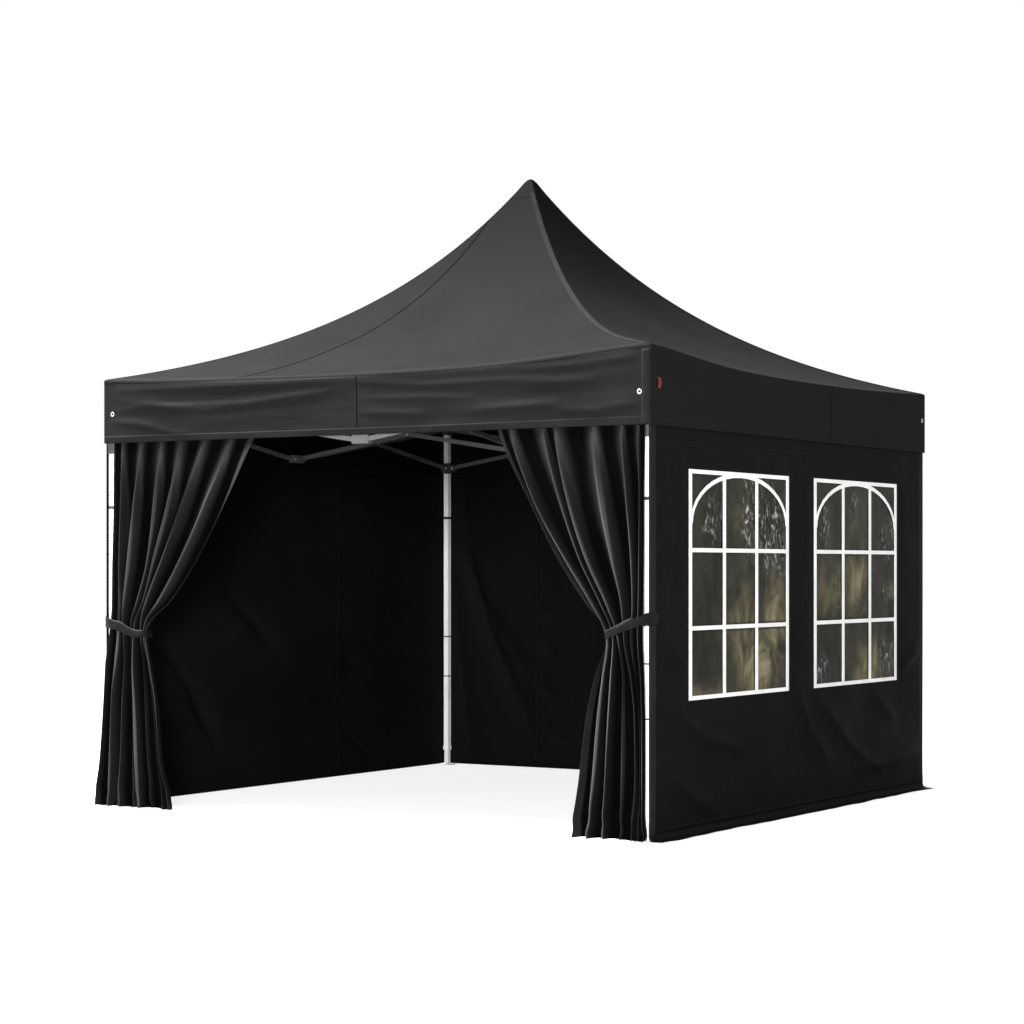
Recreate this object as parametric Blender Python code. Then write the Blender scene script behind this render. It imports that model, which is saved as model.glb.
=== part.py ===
"""Pop-up party pavilion, 3 m square, standing on its lowest leg setting.

A scissor frame of four telescopic legs and eight side scissors, tied across the
middle to a hub whose pole lifts the roof to a high concave peak. The roof has a
straight valance all round. Three sides are closed by walls, the right one with two
arched windows, and the front is open between two curtains tied back to the legs.

Metres, +Z up. The origin is on the ground at the centre, and the open front faces -Y.
"""

import math

import bmesh
import bpy
from mathutils import Matrix, Vector

# Driving dimensions
HALF = 1.500  # from the centre to the outside of the valance
LEG_AT = 1.470  # from the centre to the axis of a leg, in X and in Y
EAVE = 2.060  # roof height at the corners
PEAK = 3.110  # top of the peak cap
GORE_TOP = 3.125  # where the roof's four gores would meet in a point
VALANCE_BOTTOM = 1.753
EAVE_SAG = 0.030  # how far the roof edge hangs down half way between two legs
ROOF_HOLLOW = 2.0  # how strongly the roof curves in between peak and eave
TOP_PIVOT = 1.960  # height of the upper scissor pivots
LOW_PIVOT = 1.735  # height of the lower scissor pivots
GAP = 0.0003  # between pieces that touch

# Roof gores
GORE_ROWS = 14
GORE_COLUMNS = 10
GORE_START = 0.030  # from the centre to the gores' upper edges, under the peak cap
ROW_CROWDING = 1.4  # over 1 crowds the rows towards the peak, where the roof bends most

# Cloth, thicker than the real sheet
ROOF_CLOTH = 0.004
VALANCE_CLOTH = 0.004
WALL_CLOTH = 0.003
VALANCE_OUT = HALF - 0.0005
VALANCE_IN = VALANCE_OUT - VALANCE_CLOTH
WALL_IN = 1.4905
WALL_OUT = WALL_IN + WALL_CLOTH
WALL_TOP = 1.930
HEM_TAPE = 0.080  # height of the tape that fastens a wall inside the valance
FLAP_OUT = 1.560  # outer edge of the ground flaps
FLAP_CLOTH = 0.003

# Windows of the right wall
WINDOW = 1.000  # outside of a window frame, both ways
WINDOW_FROM_MIDDLE = 0.640  # from the middle of the wall to the middle of a window
WINDOW_SILL = 0.580
WINDOW_STILE = 0.028  # width of a frame's upright bars
WINDOW_RAIL = 0.018  # height of its cross bars
WINDOW_ROWS = (0.302, 0.641)  # from the bottom of the frame to the bottom of each cross bar
WINDOW_LAP = 0.004  # how far a bar runs into the one it meets
WINDOW_HEM = 0.009  # how far the frame laps over the cut edge of the wall
WINDOW_FRAME_THICK = 0.0015
ARCH_RISE = 0.235  # from the arch's springing to the top of the frame
ARCH_BAND = 0.020
ARCH_STEPS = 20
FILM_THICK = 0.002

# Legs
LEG = 0.030  # outside of the upper leg's square tube
LEG_BORE = 0.0262
LOWER_LEG = 0.0250
LEG_TOP = 1.998
LEG_LID = 0.020  # thickness of the closed top of the tube
COLLAR_BOTTOM = 0.085
COLLAR_HEIGHT = 0.022
COLLAR = 0.0345
COLLAR_LIP = 0.004  # how far the collar reaches below the tube
LOWER_LEG_TOP = 0.640
FOOT = 0.070
FOOT_THICK = 0.004
FOOT_EDGE = 1.4845  # outer edge of a foot plate, inside the walls
PEG_HOLE = 0.006
PEG_HOLE_INSET = 0.014  # from the inner edges of the foot plate to the hole

# Brackets and scissor bars
BRACKET = 0.044
BRACKET_RIM = 0.0045  # how far it stands out past the leg, inside the walls
BRACKET_LID = 0.020  # height of the top bracket above the leg
BUTTON = 0.018  # square button on it that holds the roof corner
TOP_BRACKET_HEIGHT = 0.060
SLIDER_HEIGHT = 0.062
CHEEK = 0.004
CHEEK_REACH = 0.040
CHEEK_HEIGHT = 0.034
BAR_HEIGHT = 0.022
BAR_THICK = 0.010
BAR_OFFSET = 0.0062  # from the scissor's middle plane to the middle of a bar
BOLT_RADIUS = 0.006
BOLT_LENGTH = 2 * BAR_OFFSET + BAR_THICK + 0.006
MID_BRACKET = 0.090  # length, height and reach of a side's middle brackets
MID_BRACKET_HEIGHT = 0.040
MID_BRACKET_INNER = 0.017  # from the scissors' middle plane to its inner face
MID_BRACKET_OUTER = 0.0145
BAR_LAP = 0.006  # how far a bar runs into its middle bracket
HUB = 0.075
HUB_HEIGHT = 0.046
POLE = 0.013
POLE_FOOT = 0.060  # how far the pole reaches below the lower hub's middle
POLE_HEAD = 0.020  # radius of its mushroom head
POLE_HEAD_HEIGHT = 0.040
POLE_HEAD_RIM = 0.006  # height of the slope under the head, and of its upright rim
POLE_HEAD_DOME = POLE_HEAD_HEIGHT - 2 * POLE_HEAD_RIM
PEAK_CAP = 0.075  # half of the square patch over the peak
PEAK_CAP_CLOTH = 0.004
PEAK_CAP_RADII = (0.006, 0.012, 0.018, 0.023, 0.031, 0.043, 0.058, PEAK_CAP)
PEAK_ROUND = 0.023  # radius of its rounded tip

# Curtains, as (height, distance from the centre line) of their edges at each height
CURTAIN_INNER = {
    "left": [
        (0.004, 1.060), (0.26, 1.120), (0.52, 1.147), (0.70, 1.176), (0.81, 1.196), (0.868, 1.196),
        (0.90, 1.166), (0.99, 1.058), (1.19, 0.904), (1.44, 0.752), (1.74, 0.602), (1.93, 0.505),
    ],
    "right": [
        (0.004, 1.149), (0.26, 1.181), (0.52, 1.217), (0.70, 1.253), (0.85, 1.298), (0.906, 1.298),
        (0.99, 1.210), (1.19, 1.067), (1.44, 0.920), (1.74, 0.750), (1.93, 0.692),
    ],
}
CURTAIN_OUTER = {
    "left": [
        (0.004, 1.540), (0.30, 1.505), (0.80, 1.460), (0.84, 1.456), (0.93, 1.456), (1.20, 1.468),
        (1.93, 1.468),
    ],
    "right": [
        (0.004, 1.480), (0.30, 1.476), (0.80, 1.460), (0.88, 1.452), (0.98, 1.452), (1.10, 1.462),
        (1.93, 1.466),
    ],
}
CURTAIN_DEPTH = [
    (0.004, 0.068), (0.30, 0.062), (0.72, 0.060), (0.80, 0.056), (0.98, 0.056), (1.05, 0.058),
    (1.44, 0.044), (1.70, 0.030), (1.748, 0.003), (1.93, 0.003),
]
CURTAIN_BACK = 1.4920
CURTAIN_SEGMENTS = 28  # points round a curtain at each height
CURTAIN_ROUNDING = 0.5  # 1 makes its section an ellipse, and less makes it squarer
TIE_HEIGHTS = {"left": (0.838, 0.889), "right": (0.876, 0.938)}  # at the free edge and the leg
TIE_BAND = 0.045
TIE_THICK = 0.0015
TIE_LAP = 0.004  # clear of the cloth that it holds
TIE_WALL_END = 1.415  # where it ends on the side wall

CORNERS = {
    "front_left": (-1, -1),
    "front_right": (1, -1),
    "back_left": (-1, 1),
    "back_right": (1, 1),
}
# Outward direction of each side of the square, as a quarter turn from the front
SIDES = {"front": 0, "right": 1, "back": 2, "left": 3}


def material(name, colour, roughness, metallic=0.0):
    made = bpy.data.materials.new(name)
    made.use_nodes = True
    shader = made.node_tree.nodes["Principled BSDF"]
    shader.inputs["Base Color"].default_value = (*colour, 1.0)
    shader.inputs["Roughness"].default_value = roughness
    shader.inputs["Metallic"].default_value = metallic
    return made


def add_object(name, bm, finish, origin=(0.0, 0.0, 0.0)):
    """Closes the bmesh into a named object whose faces point out, with its origin there."""
    bmesh.ops.recalc_face_normals(bm, faces=bm.faces[:])
    bmesh.ops.translate(bm, verts=bm.verts[:], vec=-Vector(origin))
    mesh = bpy.data.meshes.new(name)
    bm.to_mesh(mesh)
    bm.free()
    made = bpy.data.objects.new(name, mesh)
    made.location = origin
    bpy.context.scene.collection.objects.link(made)
    if finish:
        mesh.materials.append(finish)
    return made


def helper(name, bm):
    """An object that only cuts or joins another."""
    made = add_object(name, bm, None)
    made.hide_render = True
    made.display_type = "WIRE"
    return made


def combine(target, other, operation):
    modifier = target.modifiers.new(other.name, "BOOLEAN")
    modifier.operation = operation
    modifier.solver = "EXACT"
    modifier.object = other


def box(bm, low, high):
    """Adds a box between two corners, given in any order."""
    low, high = Vector(low), Vector(high)
    size = Vector(abs(b - a) for a, b in zip(low, high))
    place = Matrix.Translation((low + high) / 2) @ Matrix.Diagonal((*size, 1.0))
    bmesh.ops.create_cube(bm, size=1.0, matrix=place)


def rod(bm, place, radius, length, sides):
    """Adds a round rod about the Z axis of a placing matrix, centred on it."""
    size = dict(radius1=radius, radius2=radius, depth=length)
    bmesh.ops.create_cone(bm, cap_ends=True, segments=sides, matrix=place, **size)


def prism(bm, outline, to_point, low, high):
    """Extrudes a flat outline; to_point turns (u, z, depth) into a point."""
    face = bm.faces.new([bm.verts.new(to_point(u, z, low)) for u, z in outline])
    moved = bmesh.ops.extrude_face_region(bm, geom=[face], use_keep_orig=True)
    shift = to_point(0, 0, high) - to_point(0, 0, low)
    verts = [part for part in moved["geom"] if isinstance(part, bmesh.types.BMVert)]
    bmesh.ops.translate(bm, verts=verts, vec=shift)


def turned(quarter):
    """Maps a front-side point (along, z, depth) to the side that lies so many quarter turns on.

    along runs to the right as seen from outside, and depth is measured outwards from the centre.
    """
    turn = Matrix.Rotation(quarter * math.pi / 2, 3, "Z")
    return lambda along, z, depth: turn @ Vector((along, -depth, z))


def roof_height(from_centre, across):
    """Height of the roof's outer face; both arguments are shares, 0 to 1, of the half width."""
    fall = math.exp(-ROOF_HOLLOW)
    rise = (math.exp(-ROOF_HOLLOW * from_centre) - fall) / (1 - fall)
    sag = EAVE_SAG * from_centre * (1 - across**2)
    return EAVE + (GORE_TOP - EAVE) * rise - sag


def roof_panel(name, quarter, finish):
    """One of the roof's four gores, from under the peak cap to the eave."""
    inner = GORE_START / HALF
    to_point = turned(quarter)
    bm = bmesh.new()
    bmesh.ops.create_grid(bm, x_segments=GORE_COLUMNS, y_segments=GORE_ROWS, size=1.0)
    for vert in bm.verts:
        across, down = vert.co.x, (vert.co.y + 1) / 2
        from_centre = inner + (1 - inner) * down**ROW_CROWDING
        along = across * (from_centre * HALF - GAP / 2)
        vert.co = to_point(along, roof_height(from_centre, across), from_centre * HALF)
    moved = bmesh.ops.extrude_face_region(bm, geom=bm.faces[:], use_keep_orig=True)
    lower = [part for part in moved["geom"] if isinstance(part, bmesh.types.BMVert)]
    bmesh.ops.translate(bm, verts=lower, vec=(0, 0, -ROOF_CLOTH))
    return add_object(name, bm, finish)


def valance(name, quarter, finish):
    """The straight skirt below one eave, whose top edge follows the eave."""
    reach = VALANCE_OUT if quarter % 2 else VALANCE_IN - GAP
    outline = [(-reach, VALANCE_BOTTOM), (reach, VALANCE_BOTTOM)]
    for step in range(GORE_COLUMNS + 1):
        across = 1 - 2 * step / GORE_COLUMNS
        top = roof_height(1.0, abs(across)) - ROOF_CLOTH - GAP
        outline.append((across * reach, top))
    bm = bmesh.new()
    prism(bm, outline, turned(quarter), VALANCE_IN, VALANCE_OUT)
    return add_object(name, bm, finish)


def peak_cap(name, finish):
    """The sewn patch over the point where the four gores meet, rounded by the pole's head."""
    bm = bmesh.new()
    chain = [bm.verts.new((radius, 0, 0)) for radius in (0.0, *PEAK_CAP_RADII)]
    edges = [bm.edges.new((a, b)) for a, b in zip(chain, chain[1:])]
    turn = dict(cent=(0, 0, 0), axis=(0, 0, 1), angle=2 * math.pi, steps=24, use_merge=True)
    bmesh.ops.spin(bm, geom=chain + edges, **turn)
    bmesh.ops.remove_doubles(bm, verts=bm.verts[:], dist=0.0001)
    for vert in bm.verts:
        radius = vert.co.xy.length
        if not radius:
            vert.co.z = PEAK
            continue
        # round at the tip, and square at the edge of the patch
        square = radius / max(abs(vert.co.x), abs(vert.co.y))
        squareness = max(0.0, (radius - PEAK_ROUND) / (PEAK_CAP - PEAK_ROUND))
        vert.co.xy *= 1 + (square - 1) * squareness
        far, near = sorted((abs(vert.co.x), abs(vert.co.y)), reverse=True)
        vert.co.z = roof_height(far / HALF, near / far) + PEAK_CAP_CLOTH + 3 * GAP
        if radius < PEAK_ROUND:
            tip = PEAK - PEAK_ROUND + math.sqrt(PEAK_ROUND**2 - radius**2)
            vert.co.z = min(vert.co.z, tip)
    moved = bmesh.ops.extrude_face_region(bm, geom=bm.faces[:], use_keep_orig=True)
    lower = [part for part in moved["geom"] if isinstance(part, bmesh.types.BMVert)]
    bmesh.ops.translate(bm, verts=lower, vec=(0, 0, -PEAK_CAP_CLOTH))
    return add_object(name, bm, finish)


def wall(name, quarter, finish):
    """A flat wall with the tape along its head that sticks to the inside of the valance.

    At the ground it turns outwards in a flap that lies flat. The side walls' flaps run on past
    the corners.
    """
    reach = WALL_OUT if quarter % 2 else WALL_IN - GAP
    flap_reach = FLAP_OUT if quarter % 2 else WALL_IN - GAP
    to_point = turned(quarter)
    outline = [
        (WALL_IN, FLAP_CLOTH / 2),
        (WALL_OUT, FLAP_CLOTH / 2),
        (WALL_OUT, WALL_TOP - HEM_TAPE),
        (VALANCE_IN - GAP, WALL_TOP - HEM_TAPE),
        (VALANCE_IN - GAP, WALL_TOP),
        (WALL_IN, WALL_TOP),
    ]
    bm = bmesh.new()
    prism(bm, outline, lambda depth, z, along: to_point(along, z, depth), -reach, reach)
    made = add_object(name, bm, finish)
    bm = bmesh.new()
    box(bm, to_point(-flap_reach, 0, WALL_IN), to_point(flap_reach, FLAP_CLOTH, FLAP_OUT))
    combine(made, helper(f"{name}_flap", bm), "UNION")
    return made


def window_bars(middle):
    """A window frame's sill, head and jambs, then its two uprights and two cross bars.

    Each is (left, right, low, high). The first two have the full width, and every other bar
    starts inside the bar it meets, so that no two end faces lie in one plane.
    """
    left, right = middle - WINDOW / 2, middle + WINDOW / 2
    low, high = WINDOW_SILL, WINDOW_SILL + WINDOW
    bars = [
        (left, right, low, low + WINDOW_RAIL),
        (left, right, high - WINDOW_RAIL, high),
        (left, left + WINDOW_STILE, low + WINDOW_LAP, high - WINDOW_LAP),
        (right - WINDOW_STILE, right, low + WINDOW_LAP, high - WINDOW_LAP),
    ]
    for count, row in enumerate(WINDOW_ROWS, 1):
        start, base = left + count * (WINDOW - WINDOW_STILE) / 3, low + row
        bars.append((start, start + WINDOW_STILE, low + WINDOW_LAP, high - WINDOW_LAP))
        bars.append((left + WINDOW_LAP, right - WINDOW_LAP, base, base + WINDOW_RAIL))
    return bars


def arch_outline(middle):
    """The round arch of a window frame, from jamb to jamb and up against the head."""
    spring = WINDOW_SILL + WINDOW - ARCH_RISE
    reach, rise = WINDOW / 2 - WINDOW_STILE / 2, ARCH_RISE - WINDOW_LAP
    angles = [math.pi * step / ARCH_STEPS for step in range(ARCH_STEPS + 1)]
    outer = [(middle + reach * math.cos(a), spring + rise * math.sin(a)) for a in angles]
    reach, rise = reach - ARCH_BAND, rise - ARCH_BAND
    inner = [(middle + reach * math.cos(a), spring + rise * math.sin(a)) for a in angles]
    return outer + inner[::-1]


def window_frame(name, middle, finish):
    """A flat white lattice with a round arch, welded onto the wall."""
    inner, outer = WALL_OUT + GAP, WALL_OUT + GAP + WINDOW_FRAME_THICK
    frame = None
    for number, (left, right, low, high) in enumerate(window_bars(middle)):
        bm = bmesh.new()
        box(bm, (inner, left, low), (outer, right, high))
        if frame is None:
            frame = add_object(name, bm, finish)
        else:
            combine(frame, helper(f"{name}_bar_{number}", bm), "UNION")
    bm = bmesh.new()
    inset = WINDOW_FRAME_THICK / 10
    prism(bm, arch_outline(middle), lambda y, z, x: Vector((x, y, z)), inner + inset, outer - inset)
    combine(frame, helper(f"{name}_arch", bm), "UNION")
    return frame


def window_opening(bm, middle, inner, outer, gap):
    """A slab that fills a window's hole in the wall, smaller all round by the gap."""
    half = WINDOW / 2 - WINDOW_HEM - gap
    centre = WINDOW_SILL + WINDOW / 2
    box(bm, (inner, middle - half, centre - half), (outer, middle + half, centre + half))


def window_film(name, middle, finish):
    """The clear sheet that fills a window, level with the wall."""
    bm = bmesh.new()
    window_opening(bm, middle, WALL_OUT - FILM_THICK, WALL_OUT, GAP)
    return add_object(name, bm, finish)


def cut_window(wall_object, middle, name):
    bm = bmesh.new()
    window_opening(bm, middle, WALL_IN - WALL_CLOTH, WALL_OUT + WALL_CLOTH, 0.0)
    combine(wall_object, helper(name, bm), "DIFFERENCE")


def upper_leg(name, sx, sy, finish):
    """Square tube from its plastic collar to the top bracket, open below for the lower leg."""
    x, y, half = sx * LEG_AT, sy * LEG_AT, LEG / 2
    bm = bmesh.new()
    box(bm, (x - half, y - half, COLLAR_BOTTOM + COLLAR_LIP), (x + half, y + half, LEG_TOP))
    leg = add_object(name, bm, finish)
    bm = bmesh.new()
    half = COLLAR / 2
    box(
        bm,
        (x - half, y - half, COLLAR_BOTTOM),
        (x + half, y + half, COLLAR_BOTTOM + COLLAR_HEIGHT),
    )
    combine(leg, helper(f"{name}_collar", bm), "UNION")
    bm = bmesh.new()
    half = LEG_BORE / 2
    box(bm, (x - half, y - half, COLLAR_BOTTOM - COLLAR_HEIGHT), (x + half, y + half, LEG_TOP - LEG_LID))
    combine(leg, helper(f"{name}_bore", bm), "DIFFERENCE")
    return leg


def lower_leg(name, sx, sy, finish):
    """The inner tube and its foot plate, which slide out of the upper leg together."""
    x, y, half = sx * LEG_AT, sy * LEG_AT, LOWER_LEG / 2
    bm = bmesh.new()
    box(bm, (x - half, y - half, FOOT_THICK / 2), (x + half, y + half, LOWER_LEG_TOP))
    leg = add_object(name, bm, finish, origin=(x, y, 0.0))
    bm = bmesh.new()
    inner = FOOT_EDGE - FOOT
    box(bm, (sx * inner, sy * inner, 0), (sx * FOOT_EDGE, sy * FOOT_EDGE, FOOT_THICK))
    combine(leg, helper(f"{name}_plate", bm), "UNION")
    bm = bmesh.new()
    at = inner + PEG_HOLE_INSET
    rod(bm, Matrix.Translation((sx * at, sy * at, 0)), PEG_HOLE, 4 * FOOT_THICK, 12)
    combine(leg, helper(f"{name}_peg_hole", bm), "DIFFERENCE")
    return leg


def cheeks(bm, sx, sy, height, offset):
    """Two pairs of plates beside the bar ends that reach a corner bracket along X and along Y."""
    start, end = LEG_AT - BRACKET / 2 + 0.002, LEG_AT - BRACKET / 2 - CHEEK_REACH
    low, high = height - CHEEK_HEIGHT / 2, height + CHEEK_HEIGHT / 2
    near = offset - BAR_THICK / 2 - GAP
    far = offset + BAR_THICK / 2 + GAP
    for inner, outer in ((near - CHEEK, near), (far, far + CHEEK)):
        side = LEG_AT + inner, LEG_AT + outer
        box(bm, (sx * start, sy * side[0], low), (sx * end, sy * side[1], high))
        box(bm, (sx * side[0], sy * start, low), (sx * side[1], sy * end, high))


def corner_bracket(name, sx, sy, pivot, low, high, bored, offset, finish):
    """A plastic block on a leg, with cheeks that hold the scissor bars of both sides."""
    x, y, half = sx * LEG_AT, sy * LEG_AT, BRACKET / 2
    outer = LEG / 2 + BRACKET_RIM
    bm = bmesh.new()
    box(bm, (x - sx * half, y - sy * half, low), (x + sx * outer, y + sy * outer, high))
    bracket = add_object(name, bm, finish)
    bm = bmesh.new()
    cheeks(bm, sx, sy, pivot, offset)
    combine(bracket, helper(f"{name}_cheeks", bm), "UNION")
    bm = bmesh.new()
    half = LEG / 2 + GAP
    roof = high + BRACKET if bored else LEG_TOP + GAP
    box(bm, (x - half, y - half, low - BRACKET), (x + half, y + half, roof))
    combine(bracket, helper(f"{name}_bore", bm), "DIFFERENCE")
    return bracket


def top_bracket(name, sx, sy, finish):
    """The fixed bracket at a leg's head, with the button that holds the roof corner."""
    low = TOP_PIVOT - TOP_BRACKET_HEIGHT / 2
    high = LEG_TOP + BRACKET_LID
    bracket = corner_bracket(name, sx, sy, TOP_PIVOT, low, high, False, BAR_OFFSET, finish)
    x, y, half = sx * LEG_AT, sy * LEG_AT, BUTTON / 2
    under_roof = roof_height((LEG_AT + half) / HALF, 1.0) - ROOF_CLOTH
    bm = bmesh.new()
    box(bm, (x - half, y - half, LEG_TOP + BRACKET_LID / 2), (x + half, y + half, under_roof - 2 * GAP))
    combine(bracket, helper(f"{name}_button", bm), "UNION")
    return bracket


def bar(bm, to_point, start, end, offset):
    """A flat bar between two (along, height) points, with upright ends, beside the middle plane."""
    half = BAR_HEIGHT / 2
    outline = [
        (start[0], start[1] - half),
        (end[0], end[1] - half),
        (end[0], end[1] + half),
        (start[0], start[1] + half),
    ]
    depth = LEG_AT + offset
    prism(bm, outline, to_point, depth - BAR_THICK / 2, depth + BAR_THICK / 2)


def bolt(bm, at, direction):
    turn = Vector((0, 0, 1)).rotation_difference(direction).to_matrix().to_4x4()
    rod(bm, Matrix.Translation(at) @ turn, BOLT_RADIUS, BOLT_LENGTH, 10)


def side_truss(name, quarter, finish):
    """Two scissors side by side between two legs, bolted to a pair of middle brackets."""
    to_point = turned(quarter)
    out = to_point(0, 0, 1)
    end = LEG_AT - BRACKET / 2 - GAP
    mid = MID_BRACKET / 2 - BAR_LAP
    crossing = (end + mid) / 2, (TOP_PIVOT + LOW_PIVOT) / 2
    falling, rising, joints = bmesh.new(), bmesh.new(), bmesh.new()
    for side in (-1, 1):
        bar(falling, to_point, (side * end, TOP_PIVOT), (side * mid, LOW_PIVOT), BAR_OFFSET)
        bar(rising, to_point, (side * end, LOW_PIVOT), (side * mid, TOP_PIVOT), -BAR_OFFSET)
        at = to_point(side * crossing[0], crossing[1], LEG_AT)
        bolt(joints, at, out)
    for height in (TOP_PIVOT, LOW_PIVOT):
        low, high = height - MID_BRACKET_HEIGHT / 2, height + MID_BRACKET_HEIGHT / 2
        first = to_point(-MID_BRACKET / 2, low, LEG_AT - MID_BRACKET_INNER)
        last = to_point(MID_BRACKET / 2, high, LEG_AT + MID_BRACKET_OUTER)
        box(joints, first, last)
    truss = add_object(name, falling, finish)
    combine(truss, helper(f"{name}_rising", rising), "UNION")
    combine(truss, helper(f"{name}_joints", joints), "UNION")
    return truss


def cross_truss(name, quarter, finish):
    """One scissor from a side's middle brackets to the centre hubs."""
    turn = turned(quarter)
    outer = LEG_AT - MID_BRACKET_INNER - GAP
    inner = HUB / 2 + GAP
    falling, rising, joints = bmesh.new(), bmesh.new(), bmesh.new()

    def to_point(out, z, aside):
        return turn(aside - LEG_AT, z, out)

    bar(falling, to_point, (outer, TOP_PIVOT), (inner, LOW_PIVOT), BAR_OFFSET)
    bar(rising, to_point, (outer, LOW_PIVOT), (inner, TOP_PIVOT), -BAR_OFFSET)
    at = to_point((outer + inner) / 2, (TOP_PIVOT + LOW_PIVOT) / 2, LEG_AT)
    bolt(joints, at, turn(1, 0, 0))
    truss = add_object(name, falling, finish)
    combine(truss, helper(f"{name}_rising", rising), "UNION")
    combine(truss, helper(f"{name}_bolt", joints), "UNION")
    return truss


def hub(name, height, finish):
    """A square plastic hub with a round hole for the centre pole."""
    bm = bmesh.new()
    half = HUB / 2
    box(bm, (-half, -half, height - HUB_HEIGHT / 2), (half, half, height + HUB_HEIGHT / 2))
    made = add_object(name, bm, finish)
    bm = bmesh.new()
    rod(bm, Matrix.Translation((0, 0, height)), POLE + GAP, 2 * HUB_HEIGHT, 24)
    combine(made, helper(f"{name}_bore", bm), "DIFFERENCE")
    return made


def centre_pole(name, finish):
    """A round pole through both hubs, with a mushroom head under the peak."""
    bottom = LOW_PIVOT - POLE_FOOT
    crown = PEAK - PEAK_CAP_CLOTH - 2 * GAP
    neck = crown - POLE_HEAD_HEIGHT
    head = [(POLE, bottom), (POLE, neck), (POLE_HEAD, neck + POLE_HEAD_RIM)]
    for step in range(5):
        angle = step * math.pi / 8
        height = crown - POLE_HEAD_DOME * (1 - math.sin(angle))
        head.append((POLE_HEAD * math.cos(angle), height))
    bm = bmesh.new()
    chain = [bm.verts.new((0, 0, bottom))]
    chain += [bm.verts.new((radius, 0, z)) for radius, z in head]
    edges = [bm.edges.new((a, b)) for a, b in zip(chain, chain[1:])]
    bmesh.ops.spin(
        bm,
        geom=chain + edges,
        cent=(0, 0, 0),
        axis=(0, 0, 1),
        angle=2 * math.pi,
        steps=24,
        use_merge=True,
    )
    bmesh.ops.remove_doubles(bm, verts=bm.verts[:], dist=0.00005)
    return add_object(name, bm, finish)


def between(points, at):
    """Straight-line value of a list of (height, value) points."""
    for (low, first), (high, second) in zip(points, points[1:]):
        if at <= high:
            return first + (second - first) * (at - low) / (high - low)
    return points[-1][1]


def squared(wave):
    """A sine or cosine, bent so that the curve it draws is squarer than an ellipse."""
    return math.copysign(abs(wave) ** CURTAIN_ROUNDING, wave)


def curtain(name, side, finish):
    """One half of the front wall, gathered by its tie and spreading again to the ground."""
    sign = -1 if side == "left" else 1
    tables = CURTAIN_INNER[side] + CURTAIN_OUTER[side] + CURTAIN_DEPTH
    levels = sorted({height for height, _ in tables})
    bm = bmesh.new()
    rings = []
    for height in levels:
        inner = between(CURTAIN_INNER[side], height)
        outer = between(CURTAIN_OUTER[side], height)
        depth = between(CURTAIN_DEPTH, height)
        middle, half = (inner + outer) / 2, (outer - inner) / 2
        ring = []
        for step in range(CURTAIN_SEGMENTS):
            angle = 2 * math.pi * step / CURTAIN_SEGMENTS
            along = squared(math.cos(angle))
            out = (1 + squared(math.sin(angle))) / 2
            at = sign * (middle + half * along), -CURTAIN_BACK - depth * out, height
            ring.append(bm.verts.new(at))
        rings.append(ring)
    for lower, upper in zip(rings, rings[1:]):
        for step in range(CURTAIN_SEGMENTS):
            after = (step + 1) % CURTAIN_SEGMENTS
            bm.faces.new((lower[step], lower[after], upper[after], upper[step]))
    bm.faces.new(rings[0])
    bm.faces.new(rings[-1])
    return add_object(name, bm, finish)


def tie_back(name, side, finish):
    """A band round the gathered curtain, up across the leg and onto the side wall."""
    sign = -1 if side == "left" else 1
    edge_height, leg_height = TIE_HEIGHTS[side]
    waist = between(CURTAIN_INNER[side], edge_height)
    inner = waist - TIE_LAP + 0.001
    front = CURTAIN_BACK + between(CURTAIN_DEPTH, edge_height) + TIE_LAP
    back = CURTAIN_BACK - GAP - TIE_THICK
    corner = WALL_OUT + GAP
    path = [
        (1.440, back),
        (inner + 0.006, back),
        (inner - 0.004, back + 0.010),
        (inner - 0.004, front - 0.012),
        (inner + 0.010, front),
        (1.435, front),
        (1.474, front - 0.012),
        (corner, CURTAIN_BACK + 0.022),
        (corner, TIE_WALL_END),
    ]
    bm = bmesh.new()
    previous = None
    for number, (x, y) in enumerate(path):
        before = Vector(path[max(number - 1, 0)])
        after = Vector(path[min(number + 1, len(path) - 1)])
        way = (after - before).normalized()
        normal = Vector((way.y, -way.x)) * TIE_THICK
        climb = min(max((x - waist) / (LEG_AT - waist), 0.0), 1.0)
        middle = edge_height + (leg_height - edge_height) * climb
        low, high = middle - TIE_BAND / 2, middle + TIE_BAND / 2
        ring = [
            bm.verts.new((sign * a, -b, z))
            for a, b, z in (
                (x, y, low),
                (x - normal.x, y - normal.y, low),
                (x - normal.x, y - normal.y, high),
                (x, y, high),
            )
        ]
        if previous:
            for step in range(4):
                after = (step + 1) % 4
                bm.faces.new((previous[step], previous[after], ring[after], ring[step]))
        else:
            bm.faces.new(ring)
        previous = ring
    bm.faces.new(previous)
    return add_object(name, bm, finish)


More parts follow.
